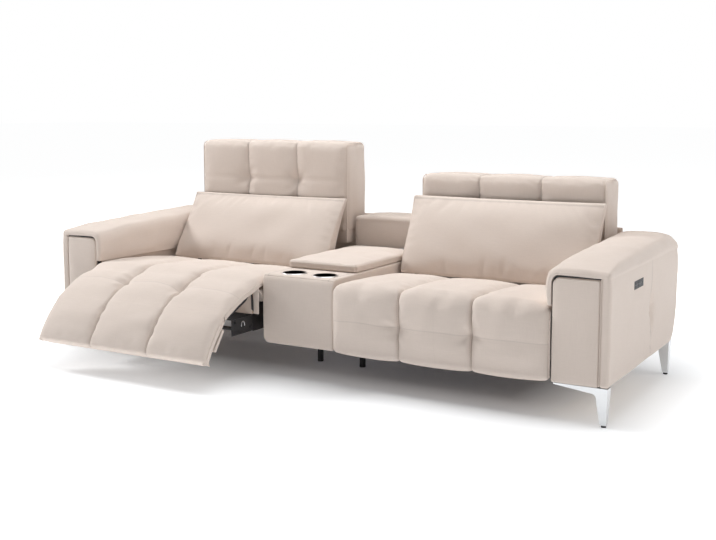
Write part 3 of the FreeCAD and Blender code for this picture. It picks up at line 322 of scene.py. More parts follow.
def cup_metal(name):
    """Dark brushed cup; the outer band of its rim is bright."""
    made = Finish(name, 1.0)
    x, y, _ = made.axes()
    depth = (y - (CUP_Y * MM + ARM_FRONT)) ** 2.0
    reach = [((x - centre * MM) ** 2.0 + depth) ** 0.5 for centre in CUP_XS]
    band = reach[0].at_most(reach[1]).above(CUP_BRIGHT * MM)
    brushed = made.noise(500.0, 3.0)
    made.set("Base Color", made.mix(band, (0.035, 0.035, 0.04, 1.0), (0.86, 0.86, 0.87, 1.0)))
    made.set("Roughness", brushed * 0.15 + 0.22)
    made.bump(brushed, 0.0001, 0.3)
    return made.material


def finishes():
    """One material for each of the record's slots, made from the panel's colours."""
    look = bpy.context.scene.sofa_look
    cover = tuple(look.cover_colour)
    return {
        "cover": fabric("cover_cloth", cover, look.weave_pitch),
        "plywood": plywood("plywood_veneer", (0.60, 0.44, 0.28)),
        "webbing": webbing("elastic_webbing", (0.20, 0.19, 0.17)),
        "satin_metal": metal("satin_casting", tuple(look.leg_colour), 0.34, 700.0),
        "black_plastic": plastic("matte_black_plastic", (0.022, 0.022, 0.025), 0.5),
        "cup_metal": cup_metal("dark_cup_metal"),
        "dark_steel": metal("black_coated_steel", (0.035, 0.035, 0.038), 0.45, 900.0, 0.3),
        "bright_steel": metal("plated_steel", (0.58, 0.58, 0.60), 0.3, 600.0),
        "marks": plastic("pale_marks", (0.62, 0.62, 0.63), 0.5),
    }


def finish(slot):
    """The material of a slot, made once and then shared."""
    key = "finish_" + slot
    scene = bpy.context.scene
    if key not in scene:
        for name, material in finishes().items():
            scene["finish_" + name] = material
    return scene[key]


# Meshes

class Shell:
    """Points, faces and seam coordinates of one closed form, in millimetres."""

    def __init__(self, points, faces, normals=None, unit=None):
        self.points = np.array(points, float)
        self.faces = faces
        self.normals = normals
        self.unit = unit
        self.across = np.full(len(self.points), NO_SEAM)
        self.along = np.zeros(len(self.points))
        self.crease = np.full(len(self.points), NO_SEAM)
        self.held = np.ones(len(self.points), bool)

    def push(self, amount):
        """Moves each point out along its own direction."""
        self.points += self.normals * np.asarray(amount)[:, None]

    def seam(self, across, along, where=None):
        """Notes where a stitched seam runs: the distance from it and the run along it."""
        closer = np.abs(across) < np.abs(self.across)
        if where is not None:
            closer &= where
        self.across[closer] = across[closer]
        self.along[closer] = along[closer]


def joined(shells):
    """Several shells as one, with their seam values."""
    points, faces, start = [], [], 0
    for shell in shells:
        points.append(shell.points)
        faces += [[i + start for i in face] for face in shell.faces]
        start += len(shell.points)
    whole = Shell(np.vstack(points), faces)
    for noted in ("across", "along", "crease", "held"):
        setattr(whole, noted, np.concatenate([getattr(shell, noted) for shell in shells]))
    return whole


def turned(points, pin, degrees):
    """Points turned about an X-wise axis through pin, given as (y, z)."""
    angle = math.radians(degrees)
    y = points[:, 1] - pin[0]
    z = points[:, 2] - pin[1]
    out = points.copy()
    out[:, 1] = pin[0] + y * math.cos(angle) - z * math.sin(angle)
    out[:, 2] = pin[1] + y * math.sin(angle) + z * math.cos(angle)
    return out


def moved(points, step):
    """Points moved by step, given as (y, z)."""
    return points + np.array([0.0, step[0], step[1]])


def posed(points, body):
    """Points of a closed piece, moved to where its body stands on the open side."""
    if body == "seat":
        return moved(points, SEAT_SLIDE)
    if body == "flap":
        return moved(turned(turned(points, FOLD, -FLAP_ANGLE), HINGE, -OPEN_ANGLE), SEAT_SLIDE)
    if body == "back":
        return moved(turned(points, TILT_PIN, -BACK_TILT), SEAT_SLIDE)
    if body == "headrest":
        return moved(points, HEAD_RAISE)
    raise ValueError(body)


def build(name, shell, slot, sign=1, smooth=True):
    """Makes the object of a shell, mirrored where sign is -1."""
    points = shell.points * MM
    points[:, 0] *= sign
    points[:, 1] += ARM_FRONT
    mesh = bpy.data.meshes.new(name)
    mesh.from_pydata(points.tolist(), [], [tuple(f) for f in shell.faces])
    # seam_across and crease tell the cloth's material where to paint shade in seam grooves and creases;
    # seam_along spaces its stitches
    layers = {"seam_across": shell.across, "seam_along": shell.along, "crease": shell.crease}
    for attribute, values in layers.items():
        layer = mesh.attributes.new(attribute, "FLOAT", "POINT")
        layer.data.foreach_set("value", values.astype(np.float32))
    whole = bmesh.new()
    whole.from_mesh(mesh)
    bmesh.ops.recalc_face_normals(whole, faces=whole.faces)
    whole.to_mesh(mesh)
    whole.free()
    if smooth:
        mesh.shade_smooth()
    mesh.materials.append(finish(slot))
    made = bpy.data.objects.new(name, mesh)
    bpy.context.scene.collection.objects.link(made)
    slot if slot != "marks" else "black_plastic"
    return made


def cut(target, cutter):
    """Takes the cutter's volume out of the target and deletes the cutter."""
    tool = target.modifiers.new("cut", "BOOLEAN")
    tool.operation = "DIFFERENCE"
    tool.solver = "EXACT"
    tool.object = cutter
    graph = bpy.context.evaluated_depsgraph_get()
    result = bpy.data.meshes.new_from_object(target.evaluated_get(graph))
    target.modifiers.clear()
    old = target.data
    target.data = result
    bpy.data.meshes.remove(old)
    bpy.data.objects.remove(cutter)
    for face in target.data.polygons:
        face.material_index = 0
    sharp_over(target, 40.0)


def sharp_over(target, degrees):
    """Smooth shading, with edges steeper than this kept sharp."""
    target.data.shade_smooth()
    target.data.set_sharp_from_angle(angle=math.radians(degrees))


def inflate(target, held, pressure, cap, frames=18, ease=1.0):
    """Fills a cover: cloth under inner pressure, held at its seams and hidden faces.
    ease is the share of the travel that each point keeps."""
    scene = bpy.context.scene
    before = np.empty(len(target.data.vertices) * 3)
    target.data.vertices.foreach_get("co", before)
    group = target.vertex_groups.new(name="held")
    group.add(np.nonzero(held)[0].tolist(), 1.0, "REPLACE")
    cloth = target.modifiers.new("cloth", "CLOTH")
    settings = cloth.settings
    for name, value in CLOTH.items():
        setattr(settings, name, value)
    settings.uniform_pressure_force = pressure
    settings.vertex_group_mass = "held"
    settings.effector_weights.gravity = 0.0
    cloth.collision_settings.use_collision = False
    cloth.collision_settings.use_self_collision = False
    cloth.point_cache.frame_start = 1
    cloth.point_cache.frame_end = frames
    for moment in range(1, frames + 1):
        scene.frame_set(moment)
    graph = bpy.context.evaluated_depsgraph_get()
    settled = target.evaluated_get(graph).to_mesh()
    after = np.empty_like(before)
    settled.vertices.foreach_get("co", after)
    target.evaluated_get(graph).to_mesh_clear()
    target.modifiers.clear()
    target.vertex_groups.clear()
    scene.frame_set(1)
    travel = (after - before).reshape(-1, 3)
    length = np.linalg.norm(travel, axis=1)
    limit = cap * MM
    scale = np.where(length > 1e-9, limit * np.tanh(length / limit) / np.maximum(length, 1e-9), 0.0)
    scale = scale * ease
    target.data.vertices.foreach_set("co", (before.reshape(-1, 3) + travel * scale[:, None]).ravel())
    target.data.update()


# Forms

def wave_noise(points, pitch, seed):
    """Smooth noise of about -1 to 1: waves in seeded directions."""
    random = np.random.default_rng(seed)
    total = np.zeros(len(points))
    count = 8
    for _ in range(count):
        direction = random.normal(size=points.shape[1])
        direction /= np.linalg.norm(direction)
        turns = 2 * math.pi / (pitch * random.uniform(0.65, 1.7))
        total += np.sin(points @ direction * turns + random.uniform(0, 2 * math.pi))
    return total / math.sqrt(count)


def marks_of(half, radius, spacing, arcs):
    """Grid marks from -half to half: even over the flat, fanned over the rounded edges."""
    flat = half - radius
    count = max(2, int(round(2 * flat / spacing)))
    fan = flat + radius * np.tan(np.linspace(0, math.pi / 4, arcs + 1)[1:])
    return np.concatenate([-fan[::-1], np.linspace(-flat, flat, count + 1), fan])


def block(low, high, radius, spacing, arcs=4, extra_x=()):
    """A closed rounded box. extra_x are more grid marks across the width, for seams."""
    low, high = np.array(low, float), np.array(high, float)
    half = (high - low) / 2
    middle = (high + low) / 2
    axes = [marks_of(h, radius, spacing, arcs) for h in half]
    more = [x + d - middle[0] for x in extra_x for d in (-9.0, -4.0, 0.0, 4.0, 9.0)]
    axes[0] = np.array(sorted(set(axes[0].tolist() + more)))
    counts = [len(a) for a in axes]
    index, points, faces = {}, [], []

    def vertex(place):
        if place not in index:
            index[place] = len(points)
            points.append([axes[a][place[a]] for a in range(3)])
        return index[place]

    for axis in range(3):
        u, v = (axis + 1) % 3, (axis + 2) % 3
        for end in (0, counts[axis] - 1):
            for i in range(counts[u] - 1):
                for j in range(counts[v] - 1):
                    quad = []
                    for di, dj in ((0, 0), (1, 0), (1, 1), (0, 1)):
                        place = [end, end, end]
                        place[u] = i + di
                        place[v] = j + dj
                        quad.append(vertex(tuple(place)))
                    faces.append(quad if end else quad[::-1])
    square = np.array(points)
    core = np.clip(square, -(half - radius), half - radius)
    out = square - core
    out /= np.linalg.norm(out, axis=1)[:, None]
    local = core + radius * out
    return Shell(local + middle, faces, out, local / half)


def tube(line, radius, sides=8):
    """A closed round cord along a line of points."""
    line = np.array(line, float)
    tangents = np.gradient(line, axis=0)
    tangents /= np.linalg.norm(tangents, axis=1)[:, None]
    guide = np.array([0.31, 0.77, 0.55])
    points, faces = [], []
    for point, tangent in zip(line, tangents):
        side = np.cross(tangent, guide)
        side /= np.linalg.norm(side)
        up = np.cross(tangent, side)
        for k in range(sides):
            angle = 2 * math.pi * k / sides
            points.append(point + radius * (math.cos(angle) * side + math.sin(angle) * up))
    for i in range(len(line) - 1):
        for k in range(sides):
            a, b = i * sides + k, i * sides + (k + 1) % sides
            faces.append([a, b, b + sides, a + sides])
    faces.append(list(range(sides))[::-1])
    faces.append([(len(line) - 1) * sides + k for k in range(sides)])
    return Shell(points, faces)


def spline(points, spacing):
    """A smooth line of even steps through points; also the run to each step."""
    points = np.array(points, float)
    ends = np.vstack([2 * points[0] - points[1], points, 2 * points[-1] - points[-2]])
    t = np.linspace(0, 1, 24, endpoint=False)[:, None]
    dense = []
    for i in range(len(points) - 1):
        p0, p1, p2, p3 = ends[i:i + 4]
        cubic = -p0 + 3 * p1 - 3 * p2 + p3
        square = 2 * p0 - 5 * p1 + 4 * p2 - p3
        dense.append(0.5 * (2 * p1 + (p2 - p0) * t + square * t ** 2 + cubic * t ** 3))
    dense = np.vstack(dense + [points[-1:]])
    run = np.concatenate([[0.0], np.cumsum(np.linalg.norm(np.diff(dense, axis=0), axis=1))])
    even = np.linspace(0, run[-1], int(round(run[-1] / spacing)) + 1)
    line = np.column_stack([np.interp(even, run, dense[:, k]) for k in range(points.shape[1])])
    return even, line


def channel_marks(edges, count):
    """Positions across the width, closer together beside each seam."""
    marks = [edges[0]]
    t = np.linspace(0, 1, count + 1)[1:]
    t = 0.6 * (1 - np.cos(math.pi * t)) / 2 + 0.4 * t
    for a, b in zip(edges, edges[1:]):
        marks += list(a + (b - a) * t)
    return np.array(marks)


def pillow(x, edges, power):
    """The fullness of the channels at x: 0 on each edge or seam, 1 in the middle."""
    t = np.zeros_like(x)
    for a, b in zip(edges, edges[1:]):
        inside = (x >= a) & (x <= b)
        t[inside] = (x[inside] - a) / (b - a)
    return (4 * t * (1 - t)) ** power


def nearest(x, seams):
    """Signed distance to the nearest seam."""
    gaps = np.stack([x - s for s in seams])
    pick = np.abs(gaps).argmin(axis=0)
    return np.take_along_axis(gaps, pick[None], 0)[0]


def edge_drop(distance, radius):
    """How far a rounded edge has dropped at this distance in from its end."""
    inward = np.clip(radius - distance, 0, radius)
    return radius - np.sqrt(radius ** 2 - inward ** 2)


def slab(line, marks, outer, inner, lag=0.0):
    """A closed sheet along a (y, z) line. outer and inner are distances along its outward side;
    the inner face ends short of the line's end by lag."""
    run = np.concatenate([[0.0], np.cumsum(np.linalg.norm(np.diff(line, axis=0), axis=1))])

    def side(stations, distance):
        y = np.interp(stations, run, line[:, 0])
        z = np.interp(stations, run, line[:, 1])
        ty = np.gradient(y)
        tz = np.gradient(z)
        length = np.hypot(ty, tz)
        ny, nz = tz / length, -ty / length
        grid = np.empty((len(stations), len(marks), 3))
        grid[:, :, 0] = marks[None, :]
        grid[:, :, 1] = y[:, None] + ny[:, None] * distance
        grid[:, :, 2] = z[:, None] + nz[:, None] * distance
        return grid

    top = side(run, outer)
    low = side(run * (1 - lag / run[-1]), inner)
    ns, nx = len(line), len(marks)
    size = ns * nx
    faces = []
    for i in range(ns - 1):
        for j in range(nx - 1):
            a, b = i * nx + j, (i + 1) * nx + j
            faces.append([a, b, b + 1, a + 1])
            faces.append([size + a, size + a + 1, size + b + 1, size + b])
    for i in range(ns - 1):
        for j in (0, nx - 1):
            a, b = i * nx + j, (i + 1) * nx + j
            faces.append([a, b, size + b, size + a])
    for j in range(nx - 1):
        for i in (0, ns - 1):
            a = i * nx + j
            faces.append([a, a + 1, size + a + 1, size + a])
    return Shell(np.vstack([top.reshape(-1, 3), low.reshape(-1, 3)]), faces)


def calm_share(run, fold_at):
    """0 at the fold, where two covers meet, rising to 1 away from it."""
    t = np.clip((np.abs(run - fold_at) - 9.0) / 75.0, 0, 1)
    return t * t * (3 - 2 * t)


def quilt(points, thickness, crease_at, fade, lag, seed, fold_at, end_round=0.0):
    """A channel-quilted cover along a (y, z) line.
    crease_at is the run of its cross crease, and fade gives the crown's share by run.
    The cloth lies calm at fold_at, where the next cover meets it."""
    look = bpy.context.scene.sofa_look
    run, line = spline(points, QUILT_STEP)
    edges = (SEAT_X0,) + SEAMS + (SEAT_X1,)
    marks = channel_marks(edges, 26)
    S, X = np.meshgrid(run, marks, indexing="ij")
    flat_s, flat_x = S.ravel(), X.ravel()
    share = np.interp(flat_s, *fade)
    u = (flat_x - SEAT_X0) / (SEAT_X1 - SEAT_X0)
    dome = 9.0 * (1 - np.abs(2 * u - 1) ** 3)
    full = pillow(flat_x, edges, 0.38)
    away = nearest(flat_x, SEAMS)
    calm = calm_share(flat_s, fold_at)
    height = share * (dome + look.fullness * (CROWN * full - VALLEY))
    height -= 5.0 * share * np.exp(-(away / 5.0) ** 2)
    near_seam = np.exp(-np.abs(away) / 34.0) * full ** 0.3
    gathered = wave_noise(np.column_stack([flat_s, flat_x * 0.35]), 34.0, seed)
    height += 1.8 * calm * share * near_seam * gathered
    height += 1.4 * calm * share * wave_noise(np.column_stack([flat_s, flat_x]), 120.0, seed + 1)
    wander = 3.0 * wave_noise(flat_x[:, None], 210.0, seed + 2)
    for at in crease_at:
        off = flat_s - at
        near = 0.3 + 0.7 * np.exp(-np.abs(away) / 80)
        height -= 4.5 * share * np.exp(-((off - wander) / 10.0) ** 2) * near
        for x in SEAMS:
            reach = np.hypot(off, flat_x - x)
            angle = np.arctan2(off, flat_x - x)
            height -= 9.0 * share * np.exp(-(reach / 36.0) ** 2)
            pleats = np.cos(5 * angle + x) + 0.6 * np.cos(8 * angle + 1.3)
            height += 2.2 * share * pleats * np.exp(-((reach - 32.0) / 26.0) ** 2)
    side_gap = np.minimum(flat_x - SEAT_X0, SEAT_X1 - flat_x)
    gathers = np.sin(flat_s / 2.9 + 1.2 * np.sin(flat_s / 31.0))
    height += 1.0 * calm * share * gathers * np.exp(-side_gap / 13.0) * (side_gap > 1.0)
    height -= edge_drop(side_gap, 20.0)
    if end_round:
        height -= edge_drop(run[-1] - flat_s, end_round)
    depth = np.interp(run, *thickness)
    sheet = slab(line, marks, height.reshape(S.shape), -np.repeat(depth[:, None], len(marks), 1), lag)
    top = len(run) * len(marks)
    sheet.across[:top] = away
    sheet.along[:top] = flat_s
    # The distance from the cross crease, along which the cloth's material paints shade
    if crease_at:
        sheet.crease[:top] = flat_s - crease_at[0] - wander
    rim = side_gap < 6.0
    ends = (flat_s < 2 * QUILT_STEP) | (flat_s > run[-1] - 1.5 * QUILT_STEP)
    sheet.held[:top] = rim | ends | (np.abs(away) < 2.0)
    return run, line, sheet


def gussets(line, run, start, depth, lag=0.0):
    """The side strips under a quilted cover, from this run onwards."""
    keep = run >= start
    part, at = line[keep], run[keep]
    low = np.interp(at, [at[0], at[0] + 45.0], [22.0, depth])
    strips = []
    for x0 in (SEAT_X0 + 0.6, SEAT_X1 - 19.6):
        marks = np.linspace(x0, x0 + 19.0, 4)
        top = np.full((len(part), 4), -11.0)
        strips.append(slab(part, marks, top, -np.repeat(low[:, None], 4, 1), lag))
    return strips


def seat_line(opened):
    """The seat cover's outer line from the back, over the front roll, down to the fold."""
    if not opened:
        return [(556, 374), (480, 389), (405, 397), (300, 404), (200, 408), (110, 409), (55, 408.5),
                (28, 408), (8.2, 399.8), (0, 380), (-3, 345), (-4, 305), (-3, 267), (-1, 225),
                (0, 190), (1, 157)]
    corner = [(-29.0, -15.0), (-36.0, -60.0), (-39.0, -113.0), (-36.0, -170.0), (-28.0, -223.0)]
    angle = math.radians(-OPEN_ANGLE)
    down = []
    for y, z in corner:
        ty = y * math.cos(angle) - z * math.sin(angle) + HINGE[0] + SEAT_SLIDE[0]
        tz = y * math.sin(angle) + z * math.cos(angle) + HINGE[1] + SEAT_SLIDE[1]
        down.append((ty, tz))
    return [(498, 360), (422, 380), (347, 391), (240, 400), (140, 405), (60, 407), (0, 404)] + down


def seat_cover(side, sign, opened):
    """The quilted cover that runs over the front roll and down to the fold."""
    run, line = spline(seat_line(opened), QUILT_STEP)
    hinge_y = HINGE[0] + (SEAT_SLIDE[0] if opened else 0.0)
    roll = float(run[np.argmin(np.abs(line[:, 0] - hinge_y) + 10 * (line[:, 1] < 360))])
    end = run[-1]
    crease = roll + (110.0 if opened else 150.0)
    thickness = ([0.0, roll + 40.0, roll + 80.0, end], [21.0, 21.0, 27.0, 27.0])
    low = 0.7 if opened else 0.5
    fade = ([0.0, 60.0, 150.0, roll, roll + 60.0, end - 60.0, end - 8.0, end],
            [0.1, 0.45, 0.7, 0.9, 1.0, 0.9, low, low])
    seed = 11 if opened else 5
    run, line, sheet = quilt(seat_line(opened), thickness, [crease], fade, 15.0, seed, end)
    strips = gussets(line, run, roll - 10.0, 29.0, 15.0)
    whole = joined([sheet] + strips)
    made = build(side + "_seat_cover", whole, "cover", sign)
    sharp_over(made, 75.0)
    inflate(made, whole.held, 2.4, 5.0, ease=calm_share(whole.along, end))
    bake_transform(made)
    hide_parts(side + "_footrest_upper_pad")


def seat_base(side, sign, opened):
    """The foam block under the cover, with the folded edge of its lining."""
    shell = block((SEAT_X0 + 2, 54, 324), (SEAT_X1 - 2, 545, 382), 14.0, 24.0)
    _, y, z = shell.points.T
    low_rear = np.clip((y - 430) / 115, 0, 1)
    shell.points[:, 2] -= low_rear * 22 * (z - 324) / 58
    shell.points[:, 2] = np.where(y < 70, np.maximum(shell.points[:, 2], 368.5), shell.points[:, 2])
    shell.push(2.0 * wave_noise(shell.points, 160.0, 3) * (shell.normals[:, 2] > -0.5))
    if opened:
        shell.points = posed(shell.points, "seat")
    made = build(side + "_seat_foam", shell, "cover", sign)
    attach(made, side + "_seat")
    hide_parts(side + "_seat_pad")


def flap_cover(side, sign, opened):
    """The lower panel of the footrest, from the roll round the fold to its rounded tip."""
    radius = FOLD[0]
    roll = [(FOLD[0] + radius * math.cos(a), FOLD[1] + radius * math.sin(a))
            for a in np.radians((165, 190, 215, 240, 262))]
    bulge = 7.0 if opened else 0.0
    points = roll + [(60, 139 - bulge * 0.6), (100, 138 - bulge), (140, 138 - bulge),
                     (180, 139 - bulge * 0.7), (221, 141)]
    run, line = spline(points, QUILT_STEP)
    end = run[-1]
    thickness = ([0.0, 40.0, 90.0, end], [10.0, 14.0, 28.0, 28.0])
    low = 0.7 if opened else 0.5
    fade = ([0.0, 45.0, 100.0, end - 40.0, end], [low, low + 0.02, 0.9, 0.8, 0.45])
    run, line, sheet = quilt(points, thickness, [], fade, 0.0, 23 + opened, 0.0, 15.0)
    strips = gussets(line, run, 62.0, 28.0)
    whole = joined([sheet] + strips)
    if opened:
        whole.points = posed(whole.points, "flap")
    made = build(side + "_flap_cover", whole, "cover", sign)
    sharp_over(made, 75.0)
    inflate(made, whole.held, 2.4, 5.0, ease=calm_share(whole.along, 0.0))
    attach(made, side + "_flap")
    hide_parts(side + "_footrest_lower_pad")


def apron_cover(side, sign, opened):
    """Cloth over the apron board, turned under its lower edge, with a band at each end."""
    front = block((206, 47.4, 279.0), (1053, 49.7, 365.5), 1.0, 30.0, 2)
    hem = block((206, 47.6, 276.6), (1053, 64.0, 279.6), 1.2, 30.0, 2)
    front.push(front.normals[:, 1].clip(-1, 0) * -1.0 * wave_noise(front.points[:, [0, 2]], 70.0, 29))
    band = block((172.6, 46.4, 279.0), (199.4, 52.0, 392.0), 2.6, 12.0, 3)
    outer_band = block((1061.0, 46.4, 279.0), (1087.0, 52.0, 392.0), 2.6, 12.0, 3)
    shell = joined([front, hem, band, outer_band])
    if opened:
        shell.points = posed(shell.points, "seat")
    made = build(side + "_apron_cover", shell, "cover", sign)
    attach(made, side + "_seat")


def flap_lining(side, sign, opened):
    """Cloth wrapped round the flap's board, seen as its pale edge behind the cover."""
    shell = block((203.6, 40.8, 169.2), (1057.4, 213.2, 186.2), 2.5, 30.0, 2)
    ends = [block((x, 54.0, 174.0), (x + 27.0, 150.0, 190.0), 3.0, 14.0, 3) for x in (178.5, 1053.5)]
    shell = joined([shell] + ends)
    shell.points[:, 2] += 0.4 * wave_noise(shell.points, 60.0, 27)
    if opened:
        shell.points = posed(shell.points, "flap")
    made = build(side + "_flap_lining", shell, "cover", sign)
    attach(made, side + "_flap")


def back_cushion(side, sign, opened):
    """The wedge cushion: plain crowned face, thin stitched top edge, sides pulled in."""
    low_z, high_z = 388.0, 721.0
    x0, x1 = 175.0, 1061.0
    shell = block((x0, 0, low_z), (x1, 60, high_z), 9.0, 12.0, 4)
    u, _, v = shell.unit.T
    f = np.clip((shell.points[:, 2] - low_z) / (high_z - low_z), 0, 1)
    depth = 80.0 * (1 - f) + 18.0 * f
    shell.points[:, 1] = 556.0 + 158.0 * f + shell.points[:, 1] / 60.0 * depth
    front = np.clip(-shell.normals[:, 1], 0, 1)
    slope = np.array([0.0, -0.904, 0.428])
    crown = (1 - np.abs(u) ** 2.6) ** 0.8 * (1 - np.abs(v) ** 3.0) ** 0.75
    lift = 32.0 * crown + 2.4 * crown * wave_noise(shell.points[:, [0, 2]], 190.0, 7 + opened)
    from_top = high_z - shell.points[:, 2]
    from_side = np.minimum(shell.points[:, 0] - x0, x1 - shell.points[:, 0])
    pull = np.exp(-from_top / 24.0) * wave_noise(shell.points[:, [0]], 46.0, 9)
    pull += np.exp(-from_side / 30.0) * wave_noise(shell.points[:, [2]], 40.0, 10)
    lift += 0.9 * pull - 2.2 * np.exp(-((from_top - 13.0) / 4.0) ** 2)
    shell.points += slope[None, :] * (lift * front)[:, None]
    shell.points[:, 0] -= np.sign(u) * 8.0 * np.abs(u) ** 9 * (1 - v ** 2)
    corner = np.clip(np.abs(u) - 0.86, 0, 1) / 0.14 * np.clip(-v - 0.55, 0, 1) / 0.45
    shell.points[:, 0] -= np.sign(u) * 15.0 * corner ** 1.5
    shell.points[:, 2] -= 2.5 * np.clip(v, 0, 1) ** 8 * (1 - u ** 2)
    shell.seam(from_top - 13.0, shell.points[:, 0], front > 0.4)
    shell.held = (front < 0.5) | (from_side < 12) | (np.abs(from_top - 13) < 8)
    cord = []
    for x in (x0 + 5.0, x1 - 5.0):
        inward = np.sign((x0 + x1) / 2 - x)
        line = []
        for t in np.linspace(0.03, 0.985, 40):
            z = low_z + t * (high_z - low_z)
            bow = 7.0 * (1 - (2 * t - 1) ** 2) + 13.0 * max(0.0, 0.22 - t) / 0.22
            line.append((x + inward * bow, 556 + 158 * t + 1.2, z))
        cord.append(tube(line, 2.4))
    whole = joined([shell] + cord)
    if opened:
        whole.points = posed(whole.points, "back")
    made = build(side + "_back_cushion_cover", whole, "cover", sign)
    inflate(made, whole.held, 2.5, 8.0)
    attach(made, side + "_back")
    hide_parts(side + "_back_cushion")


def headrest(side, sign, opened):
    """The tall block: three channels on its front and top, a cross crease with two dimples."""
    x0, x1, y0, y1, z0, z1 = 187.0, 1046.0, 764.0, 946.0, 385.0, 815.0
    edges = (x0,) + HEAD_SEAMS + (x1,)
    shell = block((x0, y0, z0), (x1, y1, z1), 26.0, 12.0, 5, HEAD_SEAMS)
    u, w, v = shell.unit.T
    x, y, z = shell.points.T.copy()
    front = np.clip(-shell.normals[:, 1], 0, 1)
    top = np.clip(shell.normals[:, 2], 0, 1)
    end = np.abs(shell.normals[:, 0])
    run = (z1 - z) - np.clip(y - y0, 0, None) * (z > z1 - 30)
    away = nearest(x, HEAD_SEAMS)
    full = pillow(np.clip(x, x0, x1), edges, 0.55)
    facing = np.maximum(front, top)
    rounded = 1 - np.clip(w, 0, 1) ** 4
    height = facing * (8.0 * full * rounded - 2.0 - 3.0 * np.exp(-(away / 4.5) ** 2))
    ripple = wave_noise(np.column_stack([run, x * 0.3]), 32.0, 31 + opened)
    height += facing * 1.2 * np.exp(-np.abs(away) / 28.0) * full ** 0.3 * ripple
    height += 1.3 * wave_noise(shell.points, 150.0, 33 + opened)
    crease_z = z1 - 182.0
    off = z - crease_z
    height -= front * 5.0 * np.exp(-(off / 10.0) ** 2) * (0.4 + 0.6 * np.exp(-np.abs(away) / 110))
    for seam in HEAD_SEAMS:
        reach = np.hypot(off, x - seam)
        angle = np.arctan2(off, x - seam)
        height -= front * 13.0 * np.exp(-(reach / 38.0) ** 2)
        pleats = np.cos(5 * angle + seam) + 0.6 * np.cos(9 * angle)
        height += front * 1.8 * pleats * np.exp(-((reach - 30.0) / 24.0) ** 2)
    height += end * 5.0 * (1 - w ** 2) * (1 - v ** 4)
    height -= end * 6.0 * np.exp(-((z - (z1 - 60)) / 26.0) ** 2 - ((y - y0 - 90) / 40.0) ** 2)
    shell.push(height)
    pinch = np.clip(np.abs(u) - 0.9, 0, 1) / 0.1 * np.clip(v - 0.78, 0, 1) / 0.22 * (w < 0)
    shell.points[:, 0] -= np.sign(u) * 7.0 * pinch
    shell.points[:, 2] -= 5.0 * pinch
    shell.seam(away, run, facing > 0.5)
    shell.held = (front < 0.75) | (np.abs(away) < 2.0) | (np.abs(u) > 0.95)
    cord = []
    for x in (x0 + 6.0, x1 - 6.0):
        line = [(x, y0 + 5.0, z) for z in np.linspace(z0 + 14, z1 - 30, 40)]
        line += [(x, y0 + 5 + 26 * (1 - math.cos(a)), z1 - 31 + 26 * math.sin(a))
                 for a in np.linspace(0.15, math.pi / 2, 8)]
        line += [(x, y, z1 - 5.0) for y in np.linspace(y0 + 42, y1 - 34, 18)]
        cord.append(tube(line, 2.3))
    for x in (x0 + 3.0, x1 - 6.0):
        cord.append(block((x, y0 + 5.0, z0 - 42.0), (x + 3.0, 884.0, z0 + 24.0), 1.2, 20.0, 2))
    cord.append(block((x0 + 4.0, y0 + 4.0, z0 - 42.0), (x1 - 4.0, y0 + 7.0, z0 + 24.0), 1.2, 20.0, 2))
    whole = joined([shell] + cord)
    if opened:
        whole.points = posed(whole.points, "headrest")
    made = build(side + "_headrest_cover", whole, "cover", sign)
    inflate(made, whole.held, 1.6, 3.0)
    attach(made, side + "_headrest")
    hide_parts(side + "_headrest_pad")


def round_corner(points, a, b, a_corner, b_corner, radius, a_out, b_out):
    """Rounds a square corner of the (a, b) outline; a_out and b_out are +1 or -1 outwards."""
    da = (points[:, a] - (a_corner - a_out * radius)) * a_out
    db = (points[:, b] - (b_corner - b_out * radius)) * b_out
    inside = (da > 0) & (db > 0)
    factor = np.ones(len(points))
    factor[inside] = np.maximum(da, db)[inside] / np.hypot(da, db)[inside]
    points[inside, a] = (a_corner - a_out * radius) + (da * factor * a_out)[inside]
    points[inside, b] = (b_corner - b_out * radius) + (db * factor * b_out)[inside]


def rear_edge(z):
    """The arm's rear outline: y at each height."""
    heights = [140, 141, 146, 160, 184, 215, 255, 300, 366, 430, 490, 540]
    depths = [846, 858, 876, 903, 924, 937, 948, 957, 965, 968, 965, 958]
    return np.interp(z, heights, depths)


def arm_front(side, sign):
    """The padded front panel, and a black sheet at the back of the slit round it, put there as painted
    shade in the slit.
    """
    x0, x1, top = ARM_INNER + 2.4, HALF - 36.6, SPLIT_Z - 7.0
    shell = block((x0, 0.5, BOTTOM + 0.5), (x1, 35.5, top), 8.0, 14.0)
    u, _, v = shell.unit.T
    front = np.clip(-shell.normals[:, 1], 0, 1)
    shell.push(front * (5.0 * (1 - u ** 4) * (1 - v ** 6) + 0.7 * wave_noise(shell.points, 120.0, 41)))
    round_corner(shell.points, 0, 2, x0, top, 28.0, -1, 1)
    # Painted shade: a black sheet behind the slit makes the gap look shaded
    slit_shade_sheet = block((ARM_INNER + 0.4, 9.0, BOTTOM + 1.0), (HALF - 36.8, 35.0, SPLIT_Z - 0.8), 0.6, 30.0, 1)
    round_corner(slit_shade_sheet.points, 0, 2, ARM_INNER + 0.4, SPLIT_Z - 0.8, 28.0, -1, 1)
    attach(build(side + "_arm_front_slit_shade", slit_shade_sheet, "black_plastic", sign, False), "sofa_frame")
    made = build(side + "_arm_front_cover", shell, "cover", sign)
    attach(made, "sofa_frame")
    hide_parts(side + "_arm_front_panel")


